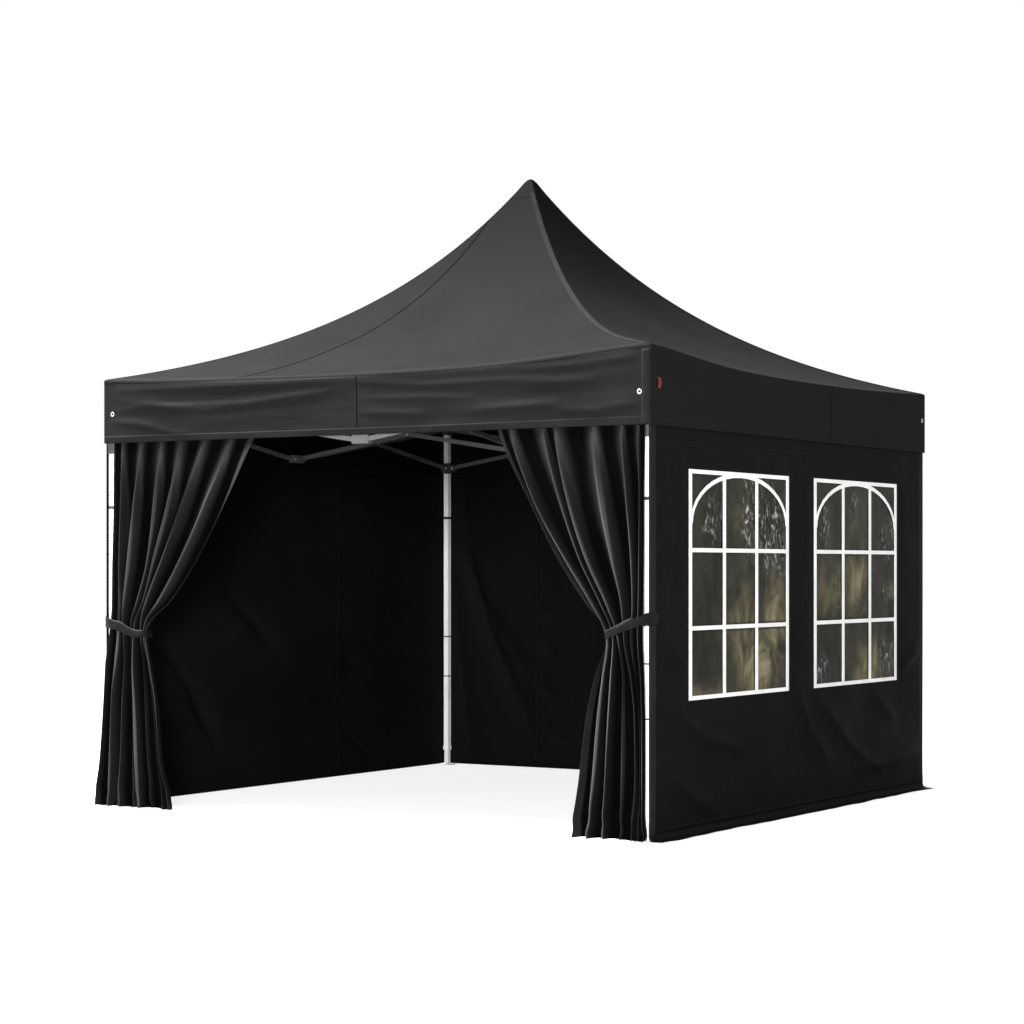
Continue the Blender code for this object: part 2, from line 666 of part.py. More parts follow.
def build():
    for old in list(bpy.data.objects):
        bpy.data.objects.remove(old, do_unlink=True)
    cloth = material("black_polyester", (0.012, 0.012, 0.013), 0.72)
    tube = material("white_painted_tube", (0.78, 0.78, 0.77), 0.35, 0.1)
    zinc = material("zinc_plated_steel", (0.62, 0.63, 0.64), 0.35, 0.9)
    plastic = material("grey_nylon", (0.55, 0.55, 0.54), 0.5)
    vinyl = material("white_vinyl", (0.85, 0.85, 0.84), 0.45)
    film = material("clear_vinyl_film", (0.10, 0.10, 0.09), 0.12)

    for side, quarter in SIDES.items():
        roof_panel(f"roof_panel_{side}", quarter, cloth)
        valance(f"valance_{side}", quarter, cloth)
        side_truss(f"side_truss_{side}", quarter, zinc)
        cross_truss(f"cross_truss_{side}", quarter, zinc)
        if side == "front":
            continue
        made = wall(f"wall_{side}", quarter, cloth)
        if side == "right":
            for place, middle in (("front", -WINDOW_FROM_MIDDLE), ("back", WINDOW_FROM_MIDDLE)):
                cut_window(made, middle, f"cut_{place}")
                window_frame(f"window_frame_{place}", middle, vinyl)
                window_film(f"window_film_{place}", middle, film)
    for corner, (sx, sy) in CORNERS.items():
        upper_leg(f"upper_leg_{corner}", sx, sy, tube)
        lower_leg(f"lower_leg_{corner}", sx, sy, tube)
        top_bracket(f"top_bracket_{corner}", sx, sy, plastic)
        corner_bracket(
            f"slider_{corner}",
            sx,
            sy,
            LOW_PIVOT,
            LOW_PIVOT - SLIDER_HEIGHT / 2,
            LOW_PIVOT + SLIDER_HEIGHT / 2,
            True,
            -BAR_OFFSET,
            plastic,
        )
    hub("hub_upper", TOP_PIVOT, plastic)
    hub("hub_lower", LOW_PIVOT, plastic)
    centre_pole("centre_pole", tube)
    peak_cap("peak_cap", cloth)
    for side in ("left", "right"):
        curtain(f"curtain_{side}", side, cloth)
        tie_back(f"tie_back_{side}", side, cloth)


build()
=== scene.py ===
"""Looks of the pop-up party pavilion: finishes, cloth with its folds and seams, and small fittings."""

import math

import bmesh
import bpy
from mathutils import Matrix, Vector, noise


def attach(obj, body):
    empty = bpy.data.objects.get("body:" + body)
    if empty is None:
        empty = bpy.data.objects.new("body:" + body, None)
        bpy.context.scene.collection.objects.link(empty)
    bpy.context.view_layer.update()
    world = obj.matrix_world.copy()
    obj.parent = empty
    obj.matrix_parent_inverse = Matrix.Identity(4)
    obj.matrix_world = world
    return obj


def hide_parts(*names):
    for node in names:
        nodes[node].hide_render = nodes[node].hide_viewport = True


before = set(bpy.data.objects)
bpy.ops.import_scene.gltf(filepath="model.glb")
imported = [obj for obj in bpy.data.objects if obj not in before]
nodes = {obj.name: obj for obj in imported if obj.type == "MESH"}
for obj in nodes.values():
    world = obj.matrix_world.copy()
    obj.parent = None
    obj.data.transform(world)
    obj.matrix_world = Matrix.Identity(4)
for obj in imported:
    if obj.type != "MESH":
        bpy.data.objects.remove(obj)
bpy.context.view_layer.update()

CORNERS = {
    "front_left": (-1, -1), "front_right": (1, -1), "back_left": (-1, 1), "back_right": (1, 1),
}
SIDES = {"front": 0, "right": 1, "back": 2, "left": 3}


# Legs
# Four telescopic legs of square steel tube with white powder coat: an upper tube with a plastic
# collar at its lower end, and a thinner tube in it that stands on a welded foot plate.
LEG_AT = 1.470
LEG = 0.030
BUTTON_HEIGHT = 0.150


def fill(tree, made, inputs):
    """Gives a node's inputs their values, or links them to other nodes' outputs."""
    for name, value in inputs.items():
        if isinstance(value, bpy.types.NodeSocket):
            tree.links.new(value, made.inputs[name])
        else:
            made.inputs[name].default_value = value


def node(tree, kind, inputs=None, **properties):
    """Adds a shader node; an input is given a value, or another node's output to be linked to."""
    made = tree.nodes.new(f"ShaderNode{kind}")
    for name, value in properties.items():
        setattr(made, name, value)
    fill(tree, made, inputs or {})
    return made


def sums(tree, operation, *values, clamp=False):
    """A math node's output, from numbers and other nodes' outputs."""
    made = node(tree, "Math", dict(enumerate(values)), operation=operation, use_clamp=clamp)
    return made.outputs[0]


def ranged(tree, value, low=0.0, high=1.0, to_low=0.0, to_high=1.0, kind="LINEAR"):
    """Moves a value's place between low and high to the same place between two other limits."""
    limits = {"From Min": low, "From Max": high, "To Min": to_low, "To Max": to_high}
    made = node(tree, "MapRange", {"Value": value, **limits}, interpolation_type=kind)
    return made.outputs[0]


def mixed(tree, share, *colours):
    """A blend of two colours, each three numbers or another node's output."""
    first, second = (c if isinstance(c, bpy.types.NodeSocket) else (*c, 1) for c in colours)
    return node(tree, "MixRGB", {"Fac": share, "Color1": first, "Color2": second}).outputs[0]


def noisy(tree, place, scale, detail, **more):
    """A noise texture's value."""
    inputs = {"Vector": place, "Scale": scale, "Detail": detail, **more}
    return node(tree, "TexNoise", inputs).outputs[0]


def bumped(tree, height, strength, distance, **more):
    """The normal that a relief gives; Normal is that of a relief under it."""
    inputs = {"Height": height, "Strength": strength, "Distance": distance, **more}
    return node(tree, "Bump", inputs).outputs[0]


def effect(name, inputs, outputs):
    """Starts a node group, and gives its tree, its input node and its output node."""
    tree = bpy.data.node_groups.new(name, "ShaderNodeTree")
    for label, kind, value in inputs:
        made = tree.interface.new_socket(label, in_out="INPUT", socket_type=f"NodeSocket{kind}")
        if value is not None:
            made.default_value = value
    for label in outputs:
        tree.interface.new_socket(label, in_out="OUTPUT", socket_type="NodeSocketFloat")
    return tree, tree.nodes.new("NodeGroupInput"), tree.nodes.new("NodeGroupOutput")


def use(tree, group, inputs):
    """Places a node group in a material."""
    return node(tree, "Group", inputs, node_tree=group)


def blotch_effect():
    """Soft stains and fine specks: how handled or dusty a surface is at each point."""
    tree, given, result = effect(
        "blotches", [("Vector", "Vector", None), ("Size", "Float", 0.2)], ["Stain", "Speck"]
    )
    scale = sums(tree, "DIVIDE", 1.0, given.outputs["Size"])
    coarse = noisy(tree, given.outputs["Vector"], scale, 4.0)
    speck = noisy(tree, given.outputs["Vector"], sums(tree, "MULTIPLY", scale, 19.0), 2.0)
    stain, dots = ranged(tree, coarse, 0.38, 0.68), ranged(tree, speck, 0.64, 0.76)
    fill(tree, result, {"Stain": stain, "Speck": dots})
    return tree


blotches = blotch_effect()


def new_material(name):
    """Starts a material, and gives it, its tree, its shader and the place on the piece."""
    made = bpy.data.materials.new(name)
    made.use_nodes = True
    tree = made.node_tree
    return made, tree, tree.nodes["Principled BSDF"], node(tree, "TexCoord").outputs["Object"]


def shade(colour, share):
    """A colour made darker, to a share of itself."""
    return tuple(share * part for part in colour)


def coated(name, colour, worn, roughness, peel, metallic=0.0):
    """Powder coat or moulded plastic: fine orange peel, faint grime and small scuffs."""
    made, tree, shader, place = new_material(name)
    marks = use(tree, blotches, {"Vector": place, "Size": 0.11})
    stain = marks.outputs["Stain"]
    tone = mixed(tree, sums(tree, "MULTIPLY", stain, 0.45), colour, worn)
    fill(tree, shader, {
        "Base Color": mixed(tree, marks.outputs["Speck"], tone, worn),
        "Roughness": ranged(tree, stain, to_low=roughness, to_high=roughness + 0.18),
        "Metallic": metallic,
        "Normal": bumped(tree, noisy(tree, place, 900.0, 1.0), peel, 0.0004),
    })
    return made


leg_paint = coated("white_powder_coat", (0.88, 0.88, 0.87), (0.62, 0.61, 0.59), 0.34, 0.25)


def paint_nodes(starts, finish):
    """Gives the CAD nodes whose names start so a better material."""
    for name, made in nodes.items():
        if name.startswith(starts):
            made.data.materials.clear()
            made.data.materials.append(finish)


paint_nodes(("upper_leg_", "lower_leg_", "centre_pole"), leg_paint)


def piece(name, bm, finish, body="pavilion", smooth=True, clean=True):
    """Makes a bmesh into a piece that rides on a body."""
    if clean:
        bmesh.ops.remove_doubles(bm, verts=bm.verts[:], dist=0.00002)
        bmesh.ops.recalc_face_normals(bm, faces=bm.faces[:])
    for face in bm.faces:
        face.smooth = smooth
    mesh = bpy.data.meshes.new(name)
    bm.to_mesh(mesh)
    bm.free()
    mesh.materials.append(finish)
    made = bpy.data.objects.new(name, mesh)
    bpy.context.scene.collection.objects.link(made)
    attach(made, body)
    return made


def turned(quarter):
    """Maps (along, height, depth) on the front side to the side so many quarter turns on.

    along runs to the right as seen from outside, and depth is measured outwards from the centre.
    """
    turn = Matrix.Rotation(quarter * math.pi / 2, 3, "Z")
    return lambda along, height, depth: turn @ Vector((along, -depth, height))


def facing(at, direction):
    """A matrix that puts the origin at a point and turns +Z along a direction."""
    turn = Vector((0, 0, 1)).rotation_difference(Vector(direction)).to_matrix().to_4x4()
    return Matrix.Translation(at) @ turn


def disc(bm, place, radius, top_radius, thick, sides=24):
    """Adds a round or many-sided disc that stands on the placing matrix's plane."""
    rise = place @ Matrix.Translation((0, 0, thick / 2))
    size = dict(radius1=radius, radius2=top_radius, depth=thick)
    bmesh.ops.create_cone(bm, cap_ends=True, segments=sides, matrix=rise, **size)


bare_steel = coated("zinc_plated_steel", (0.52, 0.52, 0.52), (0.30, 0.29, 0.28), 0.30, 0.15, 0.9)
buttons = bmesh.new()
for sx, sy in CORNERS.values():
    at = Vector((sx * (LEG_AT - LEG / 2), sy * LEG_AT, BUTTON_HEIGHT))
    disc(buttons, facing(at, (-sx, 0, 0)), 0.0052, 0.0046, 0.0022)
    dome = bmesh.ops.create_uvsphere(buttons, u_segments=16, v_segments=8, radius=0.0040)
    bmesh.ops.translate(buttons, verts=dome["verts"], vec=at + Vector((-sx * 0.0022, 0, 0)))
piece("leg_snap_buttons", buttons, bare_steel, clean=False)


# Hook-and-loop straps
# Narrow webbing loops that hold a wall's edge to the leg beside it, at three heights on each leg;
# the top one is broader, because it carries most of the pull.
STRAPS = ((1.445, 0.014), (0.750, 0.006), (0.518, 0.006))


def webbing(name, colour, pitch):
    """Ribbed woven tape."""
    made, tree, shader, place = new_material(name)
    marks = use(tree, blotches, {"Vector": place, "Size": 0.05})
    worn = sums(tree, "MULTIPLY", marks.outputs["Stain"], 0.5)
    ribs = node(
        tree, "TexWave", {"Vector": place, "Scale": 0.314 / pitch, "Distortion": 0.3},
        bands_direction="Z",
    )
    fill(tree, shader, {
        "Base Color": mixed(tree, worn, colour, shade(colour, 2.2)),
        "Roughness": 0.82,
        "Normal": bumped(tree, ribs.outputs[1], 0.5, 0.0004),
    })
    return made


def bevelled(bm, edges, offset, segments):
    """Rounds the edges of a piece."""
    bmesh.ops.bevel(
        bm, geom=edges, offset=offset, segments=segments, profile=0.5, affect="EDGES", material=-1
    )


def thicken(made, thickness, offset=1.0):
    """Gives a sheet a thickness: an offset of 1 puts it in front of the sheet, and -1 behind it."""
    shell = made.modifiers.new("thick", "SOLIDIFY")
    shell.thickness, shell.offset = thickness, offset
    return made


black_webbing = webbing("black_webbing", (0.020, 0.020, 0.021), 0.0016)
straps = bmesh.new()
for sx, sy in CORNERS.values():
    for height, width in STRAPS:
        corner = (LEG / 2 + 0.0012) * math.sqrt(2)
        ring = bmesh.ops.create_cone(
            straps, cap_ends=False, segments=4, radius1=corner, radius2=corner, depth=width,
            matrix=Matrix.Translation((sx * LEG_AT, sy * LEG_AT, height))
            @ Matrix.Rotation(math.pi / 4, 4, "Z"),
        )
        upright = [
            edge for edge in {e for v in ring["verts"] for e in v.link_edges}
            if abs(edge.verts[0].co.z - edge.verts[1].co.z) > width / 2
        ]
        bevelled(straps, upright, 0.004, 3)
thicken(piece("leg_straps", straps, black_webbing), 0.0014)


# Brackets and scissor frame
# Dark nylon brackets at each leg's head, on the slider below it and at the middle of each side,
# and flat grey-painted steel bars, bolted in pairs where they cross and at each bracket.
BRACKET = 0.044
TOP_PIVOT, LOW_PIVOT = 1.960, 1.735
MID_BRACKET = 0.090
MID_PIVOT = 0.029
MID_AT = LEG_AT - 0.017
HUB = 0.075
BOLT = 0.0065
WASHER = 0.0012
CROSSING = 0.0142
FORK, FORK_CHEEK, FORK_GAP = 0.034, 0.0035, 0.0075

nylon = coated("dark_grey_nylon", (0.034, 0.034, 0.034), (0.060, 0.059, 0.057), 0.50, 0.35)
bar_paint = coated("grey_powder_coat", (0.095, 0.095, 0.093), (0.060, 0.059, 0.057), 0.42, 0.25)
paint_nodes(("top_bracket_", "slider_", "hub_"), nylon)
paint_nodes(("side_truss_", "cross_truss_"), bar_paint)


def hex_bolt(bm, at, direction):
    """A washer and a hexagon head with a chamfer."""
    lift = Vector(direction).normalized() * WASHER
    disc(bm, facing(at, direction), BOLT * 1.45, BOLT * 1.35, WASHER)
    disc(bm, facing(at + lift, direction), BOLT, BOLT, 0.0030, 6)
    disc(bm, facing(at + lift * 3.5, direction), BOLT * 0.98, BOLT * 0.80, 0.0008, 6)


bolts = bmesh.new()
corner_pin = LEG_AT - BRACKET / 2 - 0.020
crossing = (LEG_AT - BRACKET / 2 + MID_BRACKET / 2 - 0.006) / 2
middle = (TOP_PIVOT + LOW_PIVOT) / 2
BOLTS = (
    (corner_pin, TOP_PIVOT, LEG_AT - 0.0031), (corner_pin, LOW_PIVOT, LEG_AT - 0.0155),
    (crossing, middle, LEG_AT - CROSSING), (MID_PIVOT, TOP_PIVOT, MID_AT),
    (MID_PIVOT, LOW_PIVOT, MID_AT),
)
for quarter in SIDES.values():
    to_point = turned(quarter)
    inward, across = -to_point(0, 0, 1), to_point(1, 0, 0)
    for side in (-1, 1):
        for along, height, depth in BOLTS:
            hex_bolt(bolts, to_point(side * along, height, depth), inward)
    at = to_point(0, middle, (MID_AT + HUB / 2) / 2)
    hex_bolt(bolts, at + across * CROSSING, across)
    hex_bolt(bolts, at - across * CROSSING, -across)
piece("frame_bolts", bolts, bare_steel, smooth=False, clean=False)

# Forks on the middle brackets and on the hub, which hold the ends of the cross bars
forks = bmesh.new()
for quarter in SIDES.values():
    to_point = turned(quarter)
    for height, low_side in ((TOP_PIVOT, 1), (LOW_PIVOT, -1)):
        for depth, reach in ((MID_AT, -FORK), (HUB / 2, FORK)):
            bar_side = 0.0062 * low_side * (1 if depth > 1 else -1)
            for cheek in (bar_side - FORK_GAP, bar_side + FORK_GAP):
                size = to_point(FORK_CHEEK, 0.030, FORK)
                cube = bmesh.ops.create_cube(
                    forks, size=1.0,
                    matrix=Matrix.Translation(to_point(cheek, height, depth + reach / 2))
                    @ Matrix.Diagonal((*(abs(part) for part in size), 1.0)),
                )
                bevelled(forks, list({e for v in cube["verts"] for e in v.link_edges}), 0.0012, 2)
piece("bar_forks", forks, nylon, clean=False, smooth=False)


# Canopy
# One cover of coated black polyester, sewn from four gores that meet on the hips. It is stretched
# from the eaves to the head of the centre pole and folds down over the eave onto the valance.
HALF = 1.500
EAVE, GORE_TOP, EAVE_SAG, ROOF_HOLLOW = 2.060, 3.125, 0.030, 2.0
EAVE_RADIUS = 0.009
EAVE_START = math.radians(12)
EAVE_DROP = 0.014
POLE_HOLE = 0.012
ON_HIP = 0.0004
THREAD = 0.0024
CLOTH = 0.0012


def weave_effect():
    """Plain weave: threads over and under each other, on coordinates in metres."""
    tree, given, result = effect(
        "weave", [("Vector", "Vector", None), ("Thread", "Float", 0.0012)], ["Height"]
    )
    turns = sums(tree, "DIVIDE", math.tau, given.outputs["Thread"])
    spread = node(
        tree, "VectorMath", {0: given.outputs["Vector"], "Scale": turns}, operation="SCALE"
    )
    split = node(tree, "SeparateXYZ", {0: spread.outputs[0]})
    waves = [sums(tree, "SINE", split.outputs[axis]) for axis in (0, 1, 2)]
    flat = sums(tree, "MULTIPLY", waves[0], waves[1])
    fill(tree, result, {"Height": sums(tree, "ADD", flat, waves[2])})
    return tree


def crease_effect():
    """Soft packing creases and rumples, as a height and as a mask of their crests."""
    tree, given, result = effect(
        "creases",
        [("Vector", "Vector", None), ("Size", "Float", 0.1), ("Sharpness", "Float", 0.5)],
        ["Height", "Crest"],
    )
    scale = sums(tree, "DIVIDE", 1.0, given.outputs["Size"])
    bend = noisy(tree, given.outputs["Vector"], scale, 3.0)
    folded = sums(tree, "ABSOLUTE", sums(tree, "SUBTRACT", bend, 0.5))
    crest = sums(tree, "SUBTRACT", 1.0, sums(tree, "MULTIPLY", folded, 7.0), clamp=True)
    ridge = sums(tree, "POWER", crest, 2.0)
    sharp = sums(tree, "MULTIPLY", ridge, given.outputs["Sharpness"])
    fill(tree, result, {"Height": sums(tree, "ADD", bend, sharp), "Crest": ridge})
    return tree


weave = weave_effect()
creases = crease_effect()


def painted_peak_shade(tree, place, tone, share):
    """Painted shade: darkens cloth towards the peak, by up to the given share of its tone."""
    height = node(tree, "SeparateXYZ", {0: place}).outputs[2]
    fade = sums(tree, "MULTIPLY", ranged(tree, height, 2.10, 3.00), share)
    return mixed(tree, fade, tone, (0, 0, 0))


def cloth_finish(
    name, colour, roughness, rumple, size, shine=0.02, stretch=(1, 1, 1), painted_fold_light=None, peak_shade=0.0
):
    """Coated polyester: fine weave, rumples, rubbed crests and dust.

    If a fold layer is given, it names a UV layer whose U is 0 in the hollows of folds, which get
    painted shade and less specular, and 1 on their crests, and whose V is how bright the painted
    highlight lines along the crests are.
    """
    made, tree, shader, place = new_material(name)
    drawn = node(tree, "Mapping", {"Vector": place, "Scale": stretch}).outputs[0]
    stain = use(tree, blotches, {"Vector": place, "Size": 0.35}).outputs["Stain"]
    folds = use(tree, creases, {"Vector": drawn, "Size": size, "Sharpness": 0.12})
    threads = use(tree, weave, {"Vector": place, "Thread": THREAD})
    light = shade(colour, 1.55)
    dusty = mixed(tree, sums(tree, "MULTIPLY", stain, 0.35), colour, light)
    base = mixed(tree, sums(tree, "MULTIPLY", folds.outputs["Crest"], 0.10), dusty, light)
    # Painted shade in the folds' hollows and painted highlight lines on their crests, from the fold
    # layer
    if painted_fold_light:
        raised = node(tree, "SeparateXYZ", {0: node(tree, "UVMap", uv_map=painted_fold_light).outputs[0]})
        crest = ranged(tree, raised.outputs[0], 0.12, 0.95)
        line = ranged(tree, raised.outputs[0], 0.76, 1.00, kind="SMOOTHSTEP")
        crest_highlight = sums(tree, "MULTIPLY", line, raised.outputs[1])
        base = mixed(tree, crest_highlight, mixed(tree, crest, shade(colour, 0.14), base), shade(colour, 9))
        shine = sums(tree, "MULTIPLY", crest, shine)
    # Painted shade towards the peak
    if peak_shade:
        base = painted_peak_shade(tree, place, base, peak_shade)
    soft = bumped(tree, folds.outputs["Height"], 1.0, rumple)
    fill(tree, shader, {
        "Base Color": base,
        "Roughness": ranged(tree, stain, to_low=roughness - 0.05, to_high=roughness + 0.07),
        "Specular IOR Level": shine,
        "Normal": bumped(tree, threads.outputs["Height"], 0.25, 0.0003, Normal=soft),
    })
    return made


# The roof cloth gets painted shade towards the peak, up to 52 % darker there
roof_cloth = cloth_finish(
    "black_roof_polyester", (0.0100, 0.0100, 0.0102), 0.65, 0.0016, 0.34, 0.004, peak_shade=0.52
)


def roof_height(from_centre, across):
    """Height of the roof's outer face; both are shares, 0 to 1, of the half width."""
    fall = math.exp(-ROOF_HOLLOW)
    rise = (math.exp(-ROOF_HOLLOW * from_centre) - fall) / (1 - fall)
    sag = EAVE_SAG * from_centre * (1 - across**2)
    return EAVE + (GORE_TOP - EAVE) * rise - sag


def corner_lift(along, depth, quarter):
    """How much the cloth is pulled up round the head of the leg at the front right."""
    at = turned(quarter)(along, 0, depth)
    return 0.034 * math.exp(-((at.x - HALF) ** 2 + (at.y + HALF) ** 2) / 0.55**2)


def eave_nose(across):
    """How far the sewn edge of the eave rolls outwards between the corners."""
    return 0.010 * (1 - min(abs(across), 1.0) ** 6)


def roof_ripple(along, depth, quarter):
    """How far the stretched cloth strays from its clean curve; nothing at hips, peak and eave."""
    across = abs(along) / max(depth, 0.001)
    free = max(0.0, 1 - across**4) * math.sin(math.pi * min(depth / HALF, 1.0)) ** 0.7
    at = Vector((along * 2.1, depth * 3.4, quarter * 7.3))
    return 0.0095 * free * noise.noise(at)


def roof_point(along, depth, quarter, lift=0.0):
    """A point on the canopy, or just above it, on one side of the roof."""
    across = min(abs(along) / max(depth, 0.001), 1.0)
    height = roof_height(depth / HALF, across) + roof_ripple(along, depth, quarter) + lift
    height += corner_lift(along, depth, quarter)
    return turned(quarter)(along, height, depth)


def cloth_piece(name, bm, outward, finish, thickness, offset=1.0):
    """Turns an open sheet's faces to its outer side, and makes it a piece with a thickness."""
    away = sum(face.normal.dot(outward) * face.calc_area() for face in bm.faces)
    if away < 0:
        bmesh.ops.reverse_faces(bm, faces=bm.faces[:])
    return thicken(piece(name, bm, finish, clean=False), thickness, offset)


UP = Vector((0, 0, 1))
columns, rows, bend_rows = 72, 84, 8
canopy = bmesh.new()
for quarter in SIDES.values():
    gore = bmesh.ops.create_grid(canopy, x_segments=columns, y_segments=rows, size=1.0)
    to_point = turned(quarter)
    for vert in gore["verts"]:
        across = vert.co.x
        row = round((vert.co.y + 1) / 2 * rows)
        share = row / (rows - bend_rows)
        if share <= 1:
            depth = POLE_HOLE + (HALF - EAVE_RADIUS - POLE_HOLE) * share**1.25
            vert.co = roof_point(across * depth, depth, quarter)
            continue
        edge = HALF - EAVE_RADIUS
        top = roof_height(edge / HALF, abs(across))
        top += corner_lift(across * edge, edge, quarter)
        step = min((row - (rows - bend_rows)) / (bend_rows - 1), 1.0)
        angle = EAVE_START + (math.pi / 2 - EAVE_START) * step
        out = EAVE_RADIUS * (math.sin(angle) - math.sin(EAVE_START))
        down = EAVE_RADIUS * (math.cos(EAVE_START) - math.cos(angle))
        down += EAVE_DROP if row == rows else 0.0
        depth = edge + out + 0.0035 + eave_nose(across) * step
        vert.co = to_point(across * depth, top - down, depth)
bmesh.ops.remove_doubles(canopy, verts=canopy.verts[:], dist=0.0002)
roof = cloth_piece("roof_canopy", canopy, UP, roof_cloth, CLOTH, -1.0)
for edge in roof.data.edges:
    ends = [roof.data.vertices[index].co for index in edge.vertices]
    edge.use_edge_sharp = all(abs(abs(end.x) - abs(end.y)) < ON_HIP for end in ends)
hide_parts(*(f"roof_panel_{side}" for side in SIDES))


# Roof seams
# Lapped and double-stitched seams: one along each hip, and one in the front and back gores where
# two widths of cloth are joined, from the hip near the peak to the eave. A binding edges each eave.
HIP_SEAM = 0.030
GORE_SEAM = 0.0065
EAVE_EDGE = 0.024
SEAM_START = 0.150
SEAM_EAVE = 0.690
HIP_START = 0.060
SEAM_END = HALF - 0.008
STITCH = 0.006


def stitch_effect():
    """Rows of stitches on a strip whose UV is (length, share of the width), length in metres."""
    tree, given, result = effect(
        "stitches",
        [("Vector", "Vector", None), ("Row", "Float", 0.2), ("Pitch", "Float", STITCH)],
        ["Thread", "Height"],
    )
    split = node(tree, "SeparateXYZ", {0: given.outputs["Vector"]})
    aside = sums(tree, "ABSOLUTE", sums(tree, "SUBTRACT", split.outputs[1], 0.5))
    at_row = sums(tree, "SUBTRACT", 0.5, given.outputs["Row"])
    off_row = sums(tree, "ABSOLUTE", sums(tree, "SUBTRACT", aside, at_row))
    line = sums(tree, "SUBTRACT", 1.0, sums(tree, "DIVIDE", off_row, 0.05), clamp=True)
    turns = sums(tree, "DIVIDE", math.tau, given.outputs["Pitch"])
    wave = sums(tree, "SINE", sums(tree, "MULTIPLY", split.outputs[0], turns))
    lifted = sums(tree, "ADD", sums(tree, "MULTIPLY", wave, 0.5), 0.5)
    thread = sums(tree, "MULTIPLY", line, sums(tree, "GREATER_THAN", lifted, 0.25))
    groove = sums(tree, "SUBTRACT", sums(tree, "MULTIPLY", thread, 1.6), line)
    fill(tree, result, {"Thread": thread, "Height": groove})
    return tree


stitches = stitch_effect()


def sewn_finish(name, colour, roughness, row=0.2, shine=0.02, peak_shade=0.0):
    """A sewn band of the same cloth, with a row of stitches along each edge."""
    made, tree, shader, place = new_material(name)
    along = node(tree, "UVMap", uv_map="strip").outputs[0]
    marks = use(tree, blotches, {"Vector": place, "Size": 0.12})
    sewing = use(tree, stitches, {"Vector": along, "Row": row, "Pitch": STITCH})
    threads = use(tree, weave, {"Vector": place, "Thread": THREAD})
    worn = sums(tree, "MULTIPLY", marks.outputs["Stain"], 0.4)
    sewn = sums(tree, "MULTIPLY", sewing.outputs["Thread"], 0.8)
    base = mixed(tree, sewn, mixed(tree, worn, colour, shade(colour, 1.6)), shade(colour, 2.4))
    # Painted shade towards the peak
    if peak_shade:
        base = painted_peak_shade(tree, place, base, peak_shade)
    puckers = bumped(tree, sewing.outputs["Height"], 0.8, 0.0012)
    fill(tree, shader, {
        "Base Color": base,
        "Roughness": roughness,
        "Specular IOR Level": shine,
        "Normal": bumped(tree, threads.outputs["Height"], 0.25, 0.0003, Normal=puckers),
    })
    return made


# Hip seams and eave binding: painted highlight, half again as light as the roof cloth, with the same
# painted shade towards the peak
roof_seam = sewn_finish("roof_seam", (0.0150, 0.0150, 0.0153), 0.65, shine=0.004, peak_shade=0.52)
# Gore joins and the valances' middle seams: a dark strip, with its stitches, that paints the shade in
# a lapped seam's groove
seam_shade_line = sewn_finish("seam_shade_line", (0.0030, 0.0030, 0.0031), 0.70, 0.12, 0.0)


def strip(bm, length, steps, width_steps, place):
    """Adds a band; place turns (share of its length, share of its width) into a point."""
    made = bmesh.ops.create_grid(bm, x_segments=steps, y_segments=width_steps, size=1.0)
    layer = bm.loops.layers.uv.get("strip") or bm.loops.layers.uv.new("strip")
    faces = {face for vert in made["verts"] for face in vert.link_faces}
    for face in faces:
        for loop in face.loops:
            at = loop.vert.co
            loop[layer].uv = ((at.x + 1) / 2 * length, (at.y + 1) / 2)
    for vert in made["verts"]:
        vert.co = place((vert.co.x + 1) / 2, (vert.co.y + 1) / 2)


seams, joins = bmesh.new(), bmesh.new()
for quarter in SIDES.values():
    def hip_place(length_share, width_share):
        depth = HIP_START + (SEAM_END - HIP_START) * length_share
        aside = max(depth - HIP_SEAM * (1 - width_share), 0.0)
        return roof_point(aside, depth, quarter, 0.0012)

    def gore_place(length_share, width_share):
        depth = SEAM_START + (SEAM_END - SEAM_START) * length_share
        centre = -SEAM_START - (SEAM_EAVE - SEAM_START) * length_share
        aside = max(centre + GORE_SEAM * (width_share - 0.5), -depth)
        return roof_point(aside, depth, quarter, 0.0008)

    def eave_place(length_share, width_share):
        depth = SEAM_END - EAVE_EDGE * (1 - width_share)
        return roof_point((2 * length_share - 1) * (depth - 0.002), depth, quarter, 0.0006)

    strip(seams, 2.4, 110, 4, hip_place)
    strip(seams, 3.0, 120, 3, eave_place)
    if quarter in (SIDES["front"], SIDES["back"]):
        strip(joins, 1.6, 110, 3, gore_place)
roof_seams = cloth_piece("roof_seams", seams, UP, roof_seam, 0.0010)
gore_joins = cloth_piece("roof_gore_joins", joins, UP, seam_shade_line, 0.0005)


# Peak patch
# A square patch of the same cloth over the point where the gores meet, pushed up by the rounded
# head of the centre pole and stitched round its edge.
PEAK = 3.110
PATCH = 0.075
TIP = 0.023

patch = bmesh.new()
bmesh.ops.create_grid(patch, x_segments=48, y_segments=48, size=PATCH)
for vert in patch.verts:
    far, near = sorted((abs(vert.co.x), abs(vert.co.y)), reverse=True)
    radius = vert.co.xy.length
    across = near / far if far else 1.0
    vert.co.z = roof_height(far / HALF, across) + 0.0006 + 0.0034 * (1 - (far / PATCH) ** 2)
    if radius < TIP:
        vert.co.z = min(vert.co.z, PEAK - TIP + math.sqrt(TIP**2 - radius**2))
for _ in range(2):
    bmesh.ops.smooth_vert(
        patch, verts=[v for v in patch.verts if v.co.xy.length < 0.03], factor=0.3,
        use_axis_z=True,
    )
peak = cloth_piece("peak_patch", patch, UP, roof_cloth, 0.0004, -1.0)
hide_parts("peak_cap")


